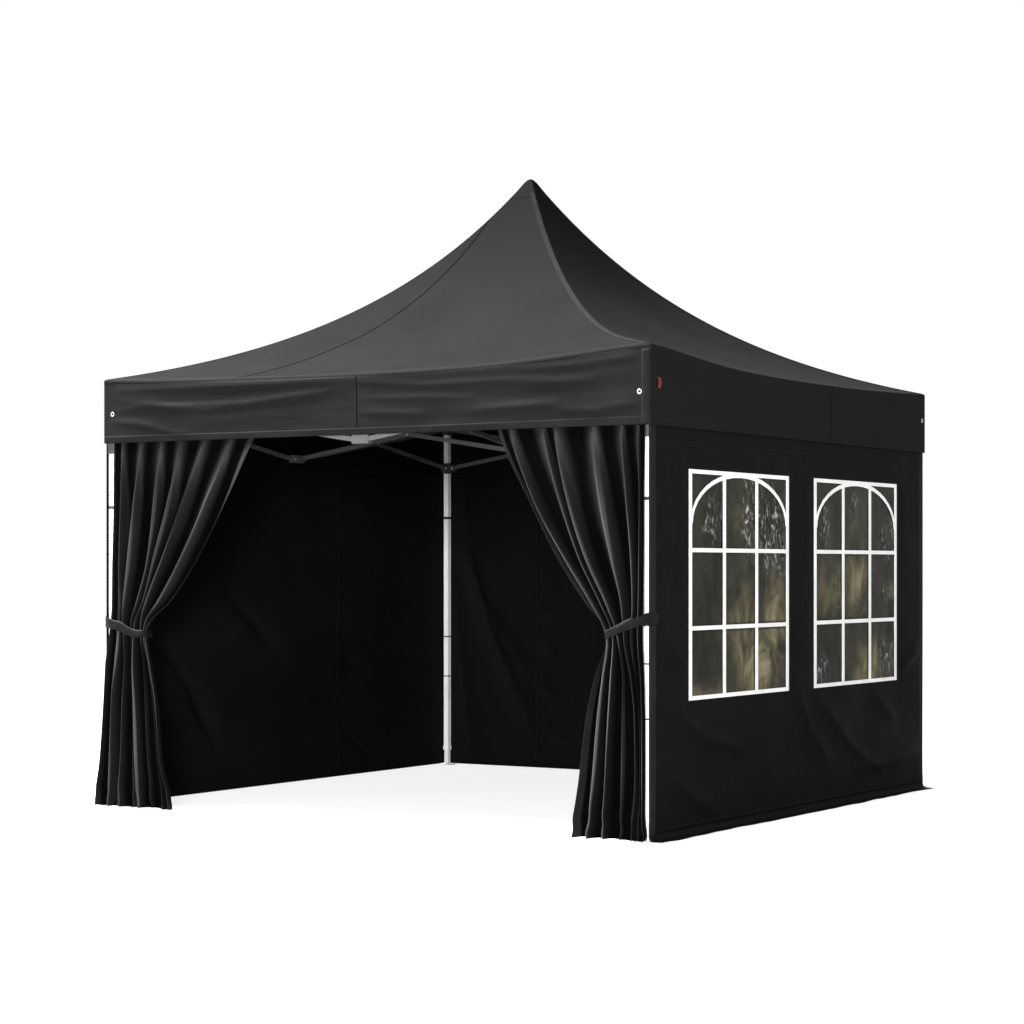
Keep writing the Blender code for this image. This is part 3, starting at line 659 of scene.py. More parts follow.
# Valances
# The straight skirt below each eave, 0.3 m deep, seamed at the middle and hemmed at the bottom.
# It hangs loose between the corners, so long folds run along it.
VALANCE_BOTTOM = 1.753
VALANCE_AT = 1.4982
VALANCE_HEM = 0.035
VALANCE_SEAM = 0.0065
SEAM_AT = {"front": 0.0, "right": 0.31, "back": 0.0, "left": 0.31}
VALANCE_FOLDS = {
    "front": [
        [(-1.402, 2.003), (-0.909, 2.002), (-0.467, 2.002), (-0.020, 2.021)],
        [(-1.402, 1.949), (-1.061, 1.919), (-0.612, 1.921), (-0.042, 1.968)],
        [(-1.434, 1.908), (-1.215, 1.924), (-0.879, 1.895), (-0.182, 1.939)],
        [(-1.434, 1.854), (-1.292, 1.843), (-1.138, 1.809), (-0.985, 1.785)],
        [(0.013, 1.988), (0.366, 1.963), (1.012, 1.970)],
        [(0.013, 1.915), (0.629, 1.904)],
        [(0.013, 1.853), (0.366, 1.836)],
        [(0.629, 1.843), (1.062, 1.861)],
        [(0.860, 2.008), (1.234, 2.024), (1.440, 2.040)],
        [(0.860, 1.944), (1.234, 1.950)],
        [(1.049, 1.829), (1.234, 1.823), (1.440, 1.846)],
    ],
    "right": [
        [(-1.413, 1.818), (-0.856, 1.882), (0.196, 1.919)],
        [(-1.440, 1.800), (-1.094, 1.796), (-0.351, 1.808)],
        [(-0.856, 1.992), (-0.084, 2.009), (1.108, 2.040)],
        [(-0.609, 1.818), (0.487, 1.826)],
        [(0.340, 1.900), (0.900, 1.930), (1.380, 1.990)],
    ],
    "back": [
        [(-1.400, 1.990), (-0.600, 1.975), (-0.050, 1.995)],
        [(-1.300, 1.880), (-0.500, 1.850), (-0.050, 1.880)],
        [(0.050, 1.960), (0.700, 1.930), (1.400, 1.980)],
        [(0.300, 1.850), (1.200, 1.870)],
    ],
    "left": [
        [(-1.400, 1.970), (-0.700, 1.940), (0.200, 1.960)],
        [(-1.200, 1.840), (-0.200, 1.860)],
        [(0.350, 1.990), (0.900, 1.960), (1.420, 1.990)],
        [(0.400, 1.870), (1.300, 1.840)],
    ],
}


def fold_height(along, up, path, width):
    """Height, 0 to 1, of a soft fold along a path of (along, up) points, fading at its ends."""
    nearest, share = 1e9, 0.0
    for number, (start, end) in enumerate(zip(path, path[1:])):
        run, rise = end[0] - start[0], end[1] - start[1]
        at = ((along - start[0]) * run + (up - start[1]) * rise) / (run * run + rise * rise)
        at = min(max(at, 0.0), 1.0)
        gap = math.hypot(along - start[0] - at * run, up - start[1] - at * rise)
        if gap < nearest:
            nearest, share = gap, (number + at) / (len(path) - 1)
    if nearest > 3 * width:
        return 0.0
    fade = math.sin(math.pi * (0.06 + 0.88 * share)) ** 0.6
    return fade * math.exp(-((nearest / width) ** 1.5))


valance_cloth = cloth_finish(
    "black_valance_polyester", (0.0076, 0.0076, 0.0078), 0.65, 0.0016, 0.34
)
valance_hem = sewn_finish("valance_hem", (0.0079, 0.0079, 0.0081), 0.65, 0.12)
valance_sheets = {}


def valance_top(across, quarter):
    """Height of the fold under the eave where a valance starts; across is a share of HALF."""
    height = roof_height(1.0, min(abs(across), 1.0)) - 0.010
    return height + corner_lift(across * HALF, HALF, quarter)


def valance_share(across, quarter, height):
    """Share of a valance's depth that lies above a height."""
    top = valance_top(across, quarter)
    return (top - height) / (top - VALANCE_BOTTOM - 0.0010)


for side, quarter in SIDES.items():
    to_point = turned(quarter)
    outward = to_point(0, 0, 1)

    def valance_point(across, down, lift=0.0, to_point=to_point, side=side, quarter=quarter):
        """A point on a valance, from its place along the side and its share of the depth."""
        along = across * (HALF + 0.0005)
        top = valance_top(across, quarter)
        up = top + (VALANCE_BOTTOM + 0.0010 - top) * down
        loose = min(1.0, (1 - abs(across)) * 14) * min(1.0, down * 9)
        swell = sum(fold_height(along, up, path, 0.017) for path in VALANCE_FOLDS[side])
        wave = noise.noise(Vector((along * 1.6, up * 17, quarter * 3.1)))
        fine = noise.noise(Vector((along * 4.5, up * 38, quarter * 5.7)))
        out = 0.0080 * swell + 0.0040 * (wave + 1) + 0.0013 * (fine + 1)
        out *= 1 - 0.5 * max(0.0, (down - 0.88) / 0.12)
        nose = eave_nose(across) * math.exp(-(((top - up) / 0.034) ** 2))
        return to_point(along, up, VALANCE_AT + 0.0016 + loose * out + nose + lift)

    skirt, trim, joint = bmesh.new(), bmesh.new(), bmesh.new()
    strip(skirt, 3.0, 300, 30, lambda a, d: valance_point(2 * a - 1, d))
    made = cloth_piece(
        f"valance_cloth_{side}", skirt, outward, valance_cloth, CLOTH, -1.0
    )
    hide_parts(f"valance_{side}")

    hem_share = VALANCE_HEM / 0.30
    strip(
        trim, 3.0, 300, 5,
        lambda a, d: valance_point(2 * a - 1, 1 - hem_share * (1 - d), 0.0010),
    )
    strip(
        trim, 0.3, 24, 3, lambda a, d: valance_point(1 - 0.040 / HALF * d, 0.03 + 0.97 * a, 0.0013)
    )
    hem = cloth_piece(f"valance_trim_{side}", trim, outward, valance_hem, 0.0008)
    seam = SEAM_AT[side] / HALF
    strip(
        joint, 0.3, 60, 3,
        lambda a, d: valance_point(seam + VALANCE_SEAM * (d - 0.5) / HALF, a, 0.0008),
    )
    line = cloth_piece(f"valance_seam_{side}", joint, outward, seam_shade_line, 0.0005)
    valance_sheets[side] = valance_point


# Eyelets and a pull tab
# Plated steel eyelets for guy ropes near each corner of the valance, and a small folded tab of
# red webbing sewn beside one corner.
EYELETS = [("front", -0.9647, 1.893), ("front", 0.9667, 1.893), ("back", -0.9647, 1.893),
           ("back", 0.9667, 1.893), ("right", 0.9727, 1.921), ("left", 0.9727, 1.921)]
EYELET, EYELET_RIM = 0.0090, 0.0030
TAB_AT, TAB_TOP, TAB_LONG, TAB_WIDE = -1.432, 1.956, 0.046, 0.022

eyelets = bmesh.new()
for side, across, height in EYELETS:
    at = valance_sheets[side](across, valance_share(across, SIDES[side], height), 0.0005)
    place = facing(at, turned(SIDES[side])(0, 0, 1))
    ring = bmesh.ops.create_circle(eyelets, segments=12, radius=EYELET_RIM)
    bmesh.ops.translate(eyelets, verts=ring["verts"], vec=(EYELET, 0, 0))
    bmesh.ops.rotate(
        eyelets, verts=ring["verts"], cent=(EYELET, 0, 0), matrix=Matrix.Rotation(math.pi / 2, 3, "X")
    )
    edges = list({edge for vert in ring["verts"] for edge in vert.link_edges})
    bmesh.ops.spin(
        eyelets, geom=ring["verts"] + edges, cent=(0, 0, 0), axis=(0, 0, 1), angle=math.tau,
        steps=32, use_merge=True,
    )
    fresh = [vert for vert in eyelets.verts if vert.co.length < 0.02]
    bmesh.ops.transform(eyelets, matrix=place, verts=fresh)
piece("guy_eyelets", eyelets, bare_steel)

red_webbing = webbing("red_webbing", (0.105, 0.0025, 0.0025), 0.0016)
red_tab = bmesh.new()


def tab_point(length_share, width_share):
    """The tab is folded over, so it stands out most at its middle."""
    height = TAB_TOP - TAB_LONG * length_share
    down = valance_share(TAB_AT / HALF, SIDES["right"], height)
    along = (TAB_AT + TAB_WIDE * (width_share - 0.5)) / HALF
    return valance_sheets["right"](along, down, 0.0010 + 0.006 * math.sin(math.pi * length_share))


strip(red_tab, 0.05, 16, 4, tab_point)
cloth_piece("red_pull_tab", red_tab, Vector((1, 0, 0)), red_webbing, 0.0010)


# Walls
# Three sheets of thinner black polyester, stuck by a tape along the head to the inside of the
# valance, that run down to the ground and out over it in a short flap.
WALL_AT = 1.4920
WALL_TOP = 1.930
FLAP_OUT = 1.556
WALL_SEAM, WALL_SEAM_AT = 0.014, {"right": 0.0, "back": 0.88, "left": -0.42}
HEAD_HEM, HEM_LINE, EDGE_TAPE = 0.226, 0.018, 0.055
WINDOW, WINDOW_FROM_MIDDLE, WINDOW_SILL, WINDOW_HEM = 1.000, 0.640, 0.580, 0.009
WALL_FOLDS = {
    "right": [
        [(-1.40, 0.877), (-1.16, 0.699)],
        [(-1.40, 0.62), (-1.281, 0.533), (-0.972, 0.40), (-0.646, 0.351), (-0.303, 0.529)],
        [(-0.05, 0.560), (0.097, 0.367), (0.286, 0.228)],
        [(0.172, 0.538), (0.521, 0.294), (0.931, 0.134)],
        [(1.188, 0.646), (1.433, 0.741)],
        [(0.847, 0.507), (1.101, 0.377)],
        [(-1.43, 0.316), (-1.129, 0.165), (-0.811, 0.051)],
        [(0.641, 0.155), (1.41, 0.221)],
    ],
    "back": [
        [(1.38, 1.55), (1.30, 1.00), (1.05, 0.45), (0.90, 0.20)],
        [(1.35, 1.20), (1.22, 0.80), (1.05, 0.50), (0.92, 0.33)],
        [(1.44, 1.05), (1.40, 0.60), (1.32, 0.10)],
        [(1.42, 1.30), (1.25, 0.95), (0.96, 0.58)],
        [(0.84, 0.89), (0.65, 0.845)],
        [(0.84, 0.70), (0.74, 0.644)],
        [(0.84, 0.469), (0.70, 0.378)],
        [(0.84, 0.258), (0.60, 0.087)],
        [(-0.20, 0.75), (-0.70, 0.40), (-1.30, 0.25)],
        [(0.30, 0.60), (-0.10, 0.30), (-0.60, 0.12)],
    ],
    "left": [
        [(-0.43, 0.79), (-0.68, 0.748), (-1.283, 0.617)],
        [(-0.43, 0.681), (-0.615, 0.601)],
        [(-0.43, 0.571), (-0.615, 0.527)],
        [(-0.089, 0.458), (-0.615, 0.415)],
        [(-0.488, 0.237), (-0.777, 0.089)],
        [(0.839, 0.483), (0.625, 0.319)],
        [(0.57, 1.038), (0.10, 0.70)],
        [(1.20, 0.90), (0.80, 0.50), (0.60, 0.15)],
    ],
}
wall_cloth = cloth_finish("black_wall_polyester", (0.0044, 0.0044, 0.0045), 0.62, 0.0030, 0.42)
wall_trim = sewn_finish("wall_trim", (0.0050, 0.0050, 0.0051), 0.62, 0.15)
# The edge hem is a real band; its tone, over twice the wall cloth's, is painted light where it wraps
# round the leg
wall_edge = sewn_finish("wall_edge_tape", (0.0115, 0.0115, 0.0118), 0.66, 0.12)


def beside_window(along, up):
    """0 on a window's frame, growing to 1 at 8 cm away from it."""
    gap = 1e9
    for middle in (-WINDOW_FROM_MIDDLE, WINDOW_FROM_MIDDLE):
        aside = max(abs(along - middle) - WINDOW / 2, 0.0)
        over = max(abs(up - WINDOW_SILL - WINDOW / 2) - WINDOW / 2, 0.0)
        gap = min(gap, math.hypot(aside, over))
    return min(gap / 0.08, 1.0)


def cut_through(bm, at, direction):
    """Splits the faces of a sheet along a plane."""
    everything = bm.verts[:] + bm.edges[:] + bm.faces[:]
    bmesh.ops.bisect_plane(bm, geom=everything, plane_co=at, plane_no=direction, dist=0.0001)


# Each wall hangs straight, then bends round outwards and lies flat on the ground
bend, turn_radius = 0.022, 0.018
straight = WALL_TOP - bend
curve = turn_radius * math.pi / 2
length = straight + curve + FLAP_OUT - WALL_AT - turn_radius
for side in ("left", "back", "right"):
    quarter = SIDES[side]
    to_point = turned(quarter)
    outward = to_point(0, 0, 1)
    reach = 1.4930 if side == "back" else 1.4950

    def wall_point(along, down, lift=0.0):
        """A point on a wall, from its place along the side and the length of cloth above it."""
        if down <= straight:
            up, out = WALL_TOP - down, 0.0
        elif down <= straight + curve:
            angle = (down - straight) / turn_radius
            up = bend - turn_radius * math.sin(angle)
            out = turn_radius * (1 - math.cos(angle))
        else:
            up, out = bend - turn_radius, turn_radius + down - straight - curve
        hang = min(1.0, down / 0.25) * min(1.0, (1.49 - abs(along)) * 8)
        ground = min(1.0, max(up - 0.02, 0.0) / 0.15)
        swell = sum(fold_height(along, up, path, 0.040) for path in WALL_FOLDS[side])
        wave = noise.noise(Vector((along * 1.3, up * 1.1, quarter * 4.1)))
        drape = noise.noise(Vector((along * 5.0, up * 1.6, quarter * 2.3)))
        away = 0.0200 * swell + 0.0045 * (wave + 0.5) + 0.0045 * (drape + 0.3)
        if side == "right":
            away *= beside_window(along, up)
        slope = min(out / turn_radius, 1.57)
        depth = WALL_AT + out + hang * ground * away + lift * math.cos(slope)
        rise = lift * math.sin(slope)
        flutter = noise.noise(Vector((along * 7, quarter * 9.7, 0.3))) * max(out - 0.02, 0) * 0.10
        return to_point(along, max(up + flutter, 0.0012) + rise, depth)

    sheet = bmesh.new()
    strip(sheet, 3.0, 180, 130, lambda a, d: Vector((2 * a - 1, d, 0)))
    if side == "right":
        half = WINDOW / 2 - WINDOW_HEM
        for middle in (-WINDOW_FROM_MIDDLE, WINDOW_FROM_MIDDLE):
            for cut in (middle - half, middle + half):
                cut_through(sheet, (cut / reach, 0, 0), (1, 0, 0))
        for height in (WINDOW_SILL + WINDOW_HEM, WINDOW_SILL + WINDOW - WINDOW_HEM):
            cut_through(sheet, (0, (WALL_TOP - height) / length, 0), (0, 1, 0))
        inside = []
        for face in sheet.faces:
            centre = face.calc_center_median()
            along, up = centre.x * reach, WALL_TOP - centre.y * length
            aside, over = abs(abs(along) - WINDOW_FROM_MIDDLE), abs(up - WINDOW_SILL - WINDOW / 2)
            if max(aside, over) < half:
                inside.append(face)
        bmesh.ops.delete(sheet, geom=inside, context="FACES")
    for vert in sheet.verts:
        vert.co = wall_point(vert.co.x * reach, vert.co.y * length)
    made = cloth_piece(f"wall_cloth_{side}", sheet, outward, wall_cloth, 0.0010, 0.0)
    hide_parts(f"wall_{side}")

    def line_place(start, lift):
        """A seam across the whole wall that starts at a length of cloth below its head."""
        return lambda a, d: wall_point((2 * a - 1) * (reach - 0.004), start + HEM_LINE * d, lift)

    # A joining seam, a hem line across the head, the flap's hem and an edge tape beside each leg
    trims, tapes = bmesh.new(), bmesh.new()
    for lift in (0.0009, -0.0017):
        if side != "right":
            strip(
                trims, 1.9, 120, 2,
                lambda a, d: wall_point(
                    WALL_SEAM_AT[side] + WALL_SEAM * (d - 0.5), 0.02 + (straight - 0.03) * a, lift
                ),
            )
        strip(trims, 3.0, 160, 2, line_place(HEAD_HEM, lift))
    strip(trims, 3.0, 160, 2, line_place(straight - 0.030, 0.0009))
    for edge in (-1, 1):
        strip(
            tapes, 1.9, 120, 4,
            lambda a, d: wall_point(
                edge * (reach - 0.002 - EDGE_TAPE * d), 0.02 + (straight - 0.02) * a, 0.0011
            ),
        )
    trim = cloth_piece(f"wall_trim_{side}", trims, outward, wall_trim, 0.0007)
    tape = cloth_piece(f"wall_edge_{side}", tapes, outward, wall_edge, 0.0007)


# Windows
# Clear vinyl films behind flat white vinyl lattices with a round arch, all welded to the wall.
# The film looks hazy: its colour is painted reflection, in smoky patches tinted by what shines through
# and on it, with painted shadow beside the bars and painted glints on crinkled spots. It is crinkled
# from being packed.
FILM_AT = 1.4926
# The lattice's inner bars, beside which the film gets a painted shadow: where the first stands, and
# half the way to the next, both ways
BAR_ASIDE, BAR_UP = 0.154, 0.552
HALF_PANE, HALF_PANE_UP = 0.162, 0.1695

vinyl_white = coated("white_vinyl", (0.82, 0.82, 0.81), (0.58, 0.57, 0.55), 0.42, 0.2)
paint_nodes(("window_frame_",), vinyl_white)

# Patches of painted reflection, then crinkled spots with relief and painted glints: place along the
# wall, height, reach each way, strength
REFLECTION_PATCHES = [
    (-0.42, 0.72, 0.30, 0.20, 1.0), (-0.98, 0.60, 0.20, 0.05, 0.7), (-0.26, 1.00, 0.12, 0.20, 0.7),
    (-0.62, 0.98, 0.14, 0.14, 0.5), (-0.62, 1.36, 0.12, 0.20, 0.45), (0.34, 1.05, 0.20, 0.14, 0.9),
    (0.66, 1.08, 0.16, 0.17, 0.8), (0.82, 0.68, 0.26, 0.13, 1.0), (1.04, 1.00, 0.12, 0.12, 0.4),
    (0.66, 1.38, 0.22, 0.12, 0.25),
]
CRINKLES = [
    (-0.30, 1.32, 0.15, 0.15, 1.0), (-0.56, 1.40, 0.06, 0.14, 0.9), (-0.90, 1.36, 0.09, 0.08, 0.6),
    (0.27, 1.34, 0.04, 0.09, 0.8), (1.02, 1.30, 0.06, 0.08, 0.9), (0.62, 1.46, 0.05, 0.05, 0.4),
    (0.24, 0.66, 0.08, 0.05, 0.6), (1.00, 0.70, 0.10, 0.07, 0.8), (1.04, 1.03, 0.09, 0.03, 0.5),
]


def spots(places, y, z):
    """How strong soft oval spots are at a point of the wall."""
    return min(1.0, sum(
        strength * math.exp(-((y - at) / wide) ** 2 - ((z - up) / high) ** 2)
        for at, up, wide, high, strength in places
    ))


def film_finish():
    """Film whose colour is painted: smoky patches of painted reflection, painted shadow beside the
    lattice bars and painted glints on crinkled spots.
    """
    made, tree, shader, place = new_material("hazy_vinyl_film")
    painted = node(tree, "SeparateXYZ", {0: node(tree, "UVMap", uv_map="spots").outputs[0]})
    # Painted reflection: noise and the painted patches pick the film's tone, from dark olive to warm
    # beige
    drawn = node(tree, "Mapping", {"Vector": place, "Scale": (1.0, 1.0, 0.75)}).outputs[0]
    reflection_noise = noisy(tree, drawn, 5.0, 6.0, Roughness=0.62, Distortion=1.1)
    cloud = ranged(tree, reflection_noise, 0.34, 0.66)
    patches = sums(tree, "MULTIPLY", painted.outputs[0], 0.80)
    patches = sums(tree, "MULTIPLY", sums(tree, "ADD", 0.25, cloud), patches)
    reflected_share = sums(tree, "ADD", patches, sums(tree, "MULTIPLY", cloud, 0.16), clamp=True)
    # Painted shadow: the film's tone drops to a quarter within about 1.5 cm of a lattice bar, fading
    # out by 2.8 cm
    split = node(tree, "SeparateXYZ", {0: place})
    aside = sums(tree, "SUBTRACT", sums(tree, "ABSOLUTE", split.outputs[1]), BAR_ASIDE)
    above = sums(tree, "SUBTRACT", split.outputs[2], BAR_UP)
    beside = sums(
        tree, "MINIMUM", sums(tree, "PINGPONG", aside, HALF_PANE),
        sums(tree, "ADD", sums(tree, "PINGPONG", above, HALF_PANE_UP), 0.005),
    )
    reflected_share = sums(tree, "MULTIPLY", reflected_share, ranged(tree, beside, 0.015, 0.028, 0.25))
    tones = node(tree, "ValToRGB", {"Fac": reflected_share})
    ramp = tones.color_ramp
    ramp.elements[0].position, ramp.elements[0].color = 0.0, (0.0055, 0.0062, 0.0046, 1)
    ramp.elements[1].position, ramp.elements[1].color = 1.0, (0.210, 0.180, 0.110, 1)
    for position, colour in ((0.30, (0.030, 0.028, 0.017, 1)), (0.62, (0.088, 0.076, 0.042, 1))):
        ramp.elements.new(position).color = colour
    # Crinkles: relief in the crinkled spots, and painted glints there, a pale colour on the crinkles'
    # crests
    crinkled = node(tree, "Mapping", {"Vector": place, "Scale": (1.0, 1.0, 0.55)}).outputs[0]
    folds = use(tree, creases, {"Vector": crinkled, "Size": 0.085, "Sharpness": 0.8})
    fine = use(tree, creases, {"Vector": crinkled, "Size": 0.034, "Sharpness": 0.8})
    fainter = sums(tree, "MULTIPLY", fine.outputs["Crest"], 0.75)
    lines = sums(tree, "POWER", sums(tree, "MAXIMUM", folds.outputs["Crest"], fainter), 3.0)
    patchy = ranged(tree, noisy(tree, place, 34.0, 1.0), 0.46, 0.62)
    painted_glints = sums(tree, "MULTIPLY", sums(tree, "MULTIPLY", lines, patchy), painted.outputs[1])
    relief = sums(tree, "MULTIPLY", folds.outputs["Height"], painted.outputs[1])
    fill(tree, shader, {
        "Base Color": mixed(tree, painted_glints, tones.outputs[0], (0.62, 0.62, 0.60)),
        "Roughness": 0.18,
        "Specular IOR Level": 0.06,
        "Normal": bumped(tree, relief, 0.7, 0.008),
    })
    return made


film = film_finish()
half = WINDOW / 2 - WINDOW_HEM
for place_name, middle in (("front", -WINDOW_FROM_MIDDLE), ("back", WINDOW_FROM_MIDDLE)):
    def pane_point(a, d):
        """The film is welded flat along its edges and buckles between them."""
        y, z = middle + half * (2 * a - 1), WINDOW_SILL + WINDOW_HEM + 2 * half * d
        slack = min(a, 1 - a, d, 1 - d, 0.12) / 0.12
        buckle = noise.noise(Vector((y * 6, z * 5, 1.7))) * 0.6
        buckle += noise.noise(Vector((y * 17, z * 13, 4.4))) * 0.3
        return Vector((FILM_AT - 0.0035 * slack * (buckle + 0.6), y, z))

    pane = bmesh.new()
    strip(pane, 1.0, 90, 90, pane_point)
    layer = pane.loops.layers.uv.new("spots")
    for face in pane.faces:
        for loop in face.loops:
            y, z = loop.vert.co.yz
            loop[layer].uv = spots(REFLECTION_PATCHES, y, z), spots(CRINKLES, y, z)
    made = cloth_piece(
        f"window_pane_{place_name}", pane, Vector((1, 0, 0)), film, 0.0006, -1.0
    )
    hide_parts(f"window_film_{place_name}")


# Curtains
# The front wall's two halves, gathered in deep folds under the valance, drawn together by a band
# at waist height and spreading again down to the ground.
LEVELS = (1.930, 1.740, 1.440, 1.190, 0.990, 0.900, 0.840, 0.700, 0.520, 0.260, 0.006)
# Distance from the centre line of each fold's crest at those heights, from the leg to the free
# edge, then how far the crest stands out above and below the tie, and the dip that follows it
CRESTS = {
    "left": [
        ((1.448, 1.448, 1.448, 1.448, 1.446, 1.446, 1.450, 1.464, 1.478, 1.498, 1.528),
         (0.18, 0.70), (0.9, 0.8)),
        ((1.394, 1.391, 1.375, 1.374, 1.374, 1.379, 1.382, 1.398, 1.420, 1.428, 1.436),
         (0.90, 0.90), (1.0, 1.0)),
        ((1.263, 1.275, 1.295, 1.319, 1.344, 1.349, 1.342, 1.336, 1.345, 1.354, 1.367),
         (1.00, 1.00), (1.0, 0.8)),
        ((1.139, 1.150, 1.165, 1.195, 1.260, 1.299, 1.306, 1.312, 1.310, 1.306, 1.304),
         (1.00, 0.45), (1.0, 0.8)),
        ((1.017, 1.035, 1.085, 1.158, 1.224, 1.269, 1.280, 1.285, 1.277, 1.264, 1.242),
         (1.00, 1.00), (1.0, 1.0)),
        ((0.852, 0.891, 1.004, 1.109, 1.204, 1.237, 1.244, 1.240, 1.230, 1.215, 1.193),
         (1.00, 0.45), (1.0, 0.9)),
        ((0.691, 0.735, 0.862, 1.001, 1.136, 1.208, 1.226, 1.208, 1.176, 1.156, 1.120),
         (1.00, 0.50), (0.9, 0.9)),
        ((0.505, 0.602, 0.752, 0.906, 1.068, 1.184, 1.213, 1.186, 1.147, 1.120, 1.060),
         (0.70, 0.90), (0.0, 0.0)),
    ],
    "right": [
        ((1.474, 1.474, 1.478, 1.480, 1.480, 1.477, 1.477, 1.480, 1.482, 1.482, 1.482),
         (0.45, 0.30), (0.8, 0.8)),
        ((1.429, 1.438, 1.460, 1.462, 1.460, 1.456, 1.455, 1.462, 1.468, 1.470, 1.470),
         (0.70, 0.35), (0.9, 0.5)),
        ((1.343, 1.359, 1.403, 1.430, 1.438, 1.430, 1.423, 1.440, 1.454, 1.456, 1.454),
         (0.95, 0.30), (1.0, 0.5)),
        ((1.204, 1.220, 1.280, 1.337, 1.386, 1.394, 1.396, 1.420, 1.440, 1.446, 1.426),
         (1.00, 0.62), (1.0, 0.8)),
        ((1.010, 1.033, 1.119, 1.214, 1.319, 1.356, 1.367, 1.378, 1.375, 1.371, 1.365),
         (1.00, 0.38), (1.0, 1.0)),
        ((0.930, 0.976, 1.079, 1.180, 1.290, 1.335, 1.346, 1.337, 1.326, 1.313, 1.300),
         (0.95, 1.00), (1.0, 1.0)),
        ((0.770, 0.810, 0.950, 1.110, 1.250, 1.304, 1.318, 1.298, 1.275, 1.250, 1.227),
         (1.00, 0.95), (0.9, 0.9)),
        ((0.692, 0.750, 0.920, 1.069, 1.218, 1.301, 1.309, 1.259, 1.217, 1.181, 1.149),
         (0.70, 0.85), (0.0, 0.0)),
    ],
}
CURTAIN_BACK = 1.4930
CURTAIN_TOP, CURTAIN_LONG, CURTAIN_HEM = 1.930, 1.926, 0.050
TIED_AT = 0.88
FORWARD = Vector((0, -1, 0))
# Depth of the folds by height: shallow behind the valance, deepest at the tie
CREST_DEEP = [
    (1.930, 0.002), (1.765, 0.003), (1.720, 0.008), (1.600, 0.026), (1.440, 0.046), (1.190, 0.054),
    (0.870, 0.056), (0.520, 0.060), (0.006, 0.066),
]
# Strength of the painted highlight lines on the curtains' crests, by height
CREST_SHINE = [
    (1.930, 0.0), (1.650, 0.03), (1.400, 0.35), (1.280, 0.45), (1.000, 0.42), (0.920, 0.20),
    (0.830, 0.90), (0.700, 1.00), (0.300, 0.90), (0.006, 0.55),
]
DIP_DEEP = [
    (1.930, -0.004), (1.765, -0.006), (1.600, -0.006), (1.190, 0.000), (0.990, 0.006),
    (0.870, 0.008), (0.700, 0.004), (0.260, 0.000), (0.006, 0.000),
]

# The curtain cloth's colour carries painted shade in the folds' hollows and painted highlight lines on
# their crests
curtain_cloth = cloth_finish(
    "black_curtain_polyester", (0.0090, 0.0090, 0.0092), 0.42, 0.0012, 0.16, 0.12,
    (1.4, 1.4, 0.4), "folds",
)
curtain_hem = sewn_finish("curtain_hem", (0.0105, 0.0105, 0.0107), 0.50, 0.14, 0.04)


def cubic(share, first, second, leaving, arriving):
    """The cubic from first to second that leaves and arrives with the given slopes."""
    square, cube = share**2, share**3
    return (
        (2 * cube - 3 * square + 1) * first
        + (cube - 2 * square + share) * leaving
        + (3 * square - 2 * cube) * second
        + (cube - square) * arriving
    )


def smooth_value(table, height):
    """Value at a height from (height, value) pairs, highest first, without overshoot."""
    for number in range(len(table) - 1):
        if height >= table[number + 1][0]:
            break

    def slope(at):
        if at in (0, len(table) - 1):
            return 0.0
        (high, before), (level, here), (low, after) = table[at - 1 : at + 2]
        rates = (here - before) / (high - level), (after - here) / (level - low)
        return 2 * rates[0] * rates[1] / sum(rates) if rates[0] * rates[1] > 0 else 0.0

    (upper, first), (lower, second) = table[number], table[number + 1]
    run = upper - lower
    share = min(max((upper - height) / run, 0.0), 1.0)
    return cubic(share, first, second, slope(number) * run, slope(number + 1) * run)


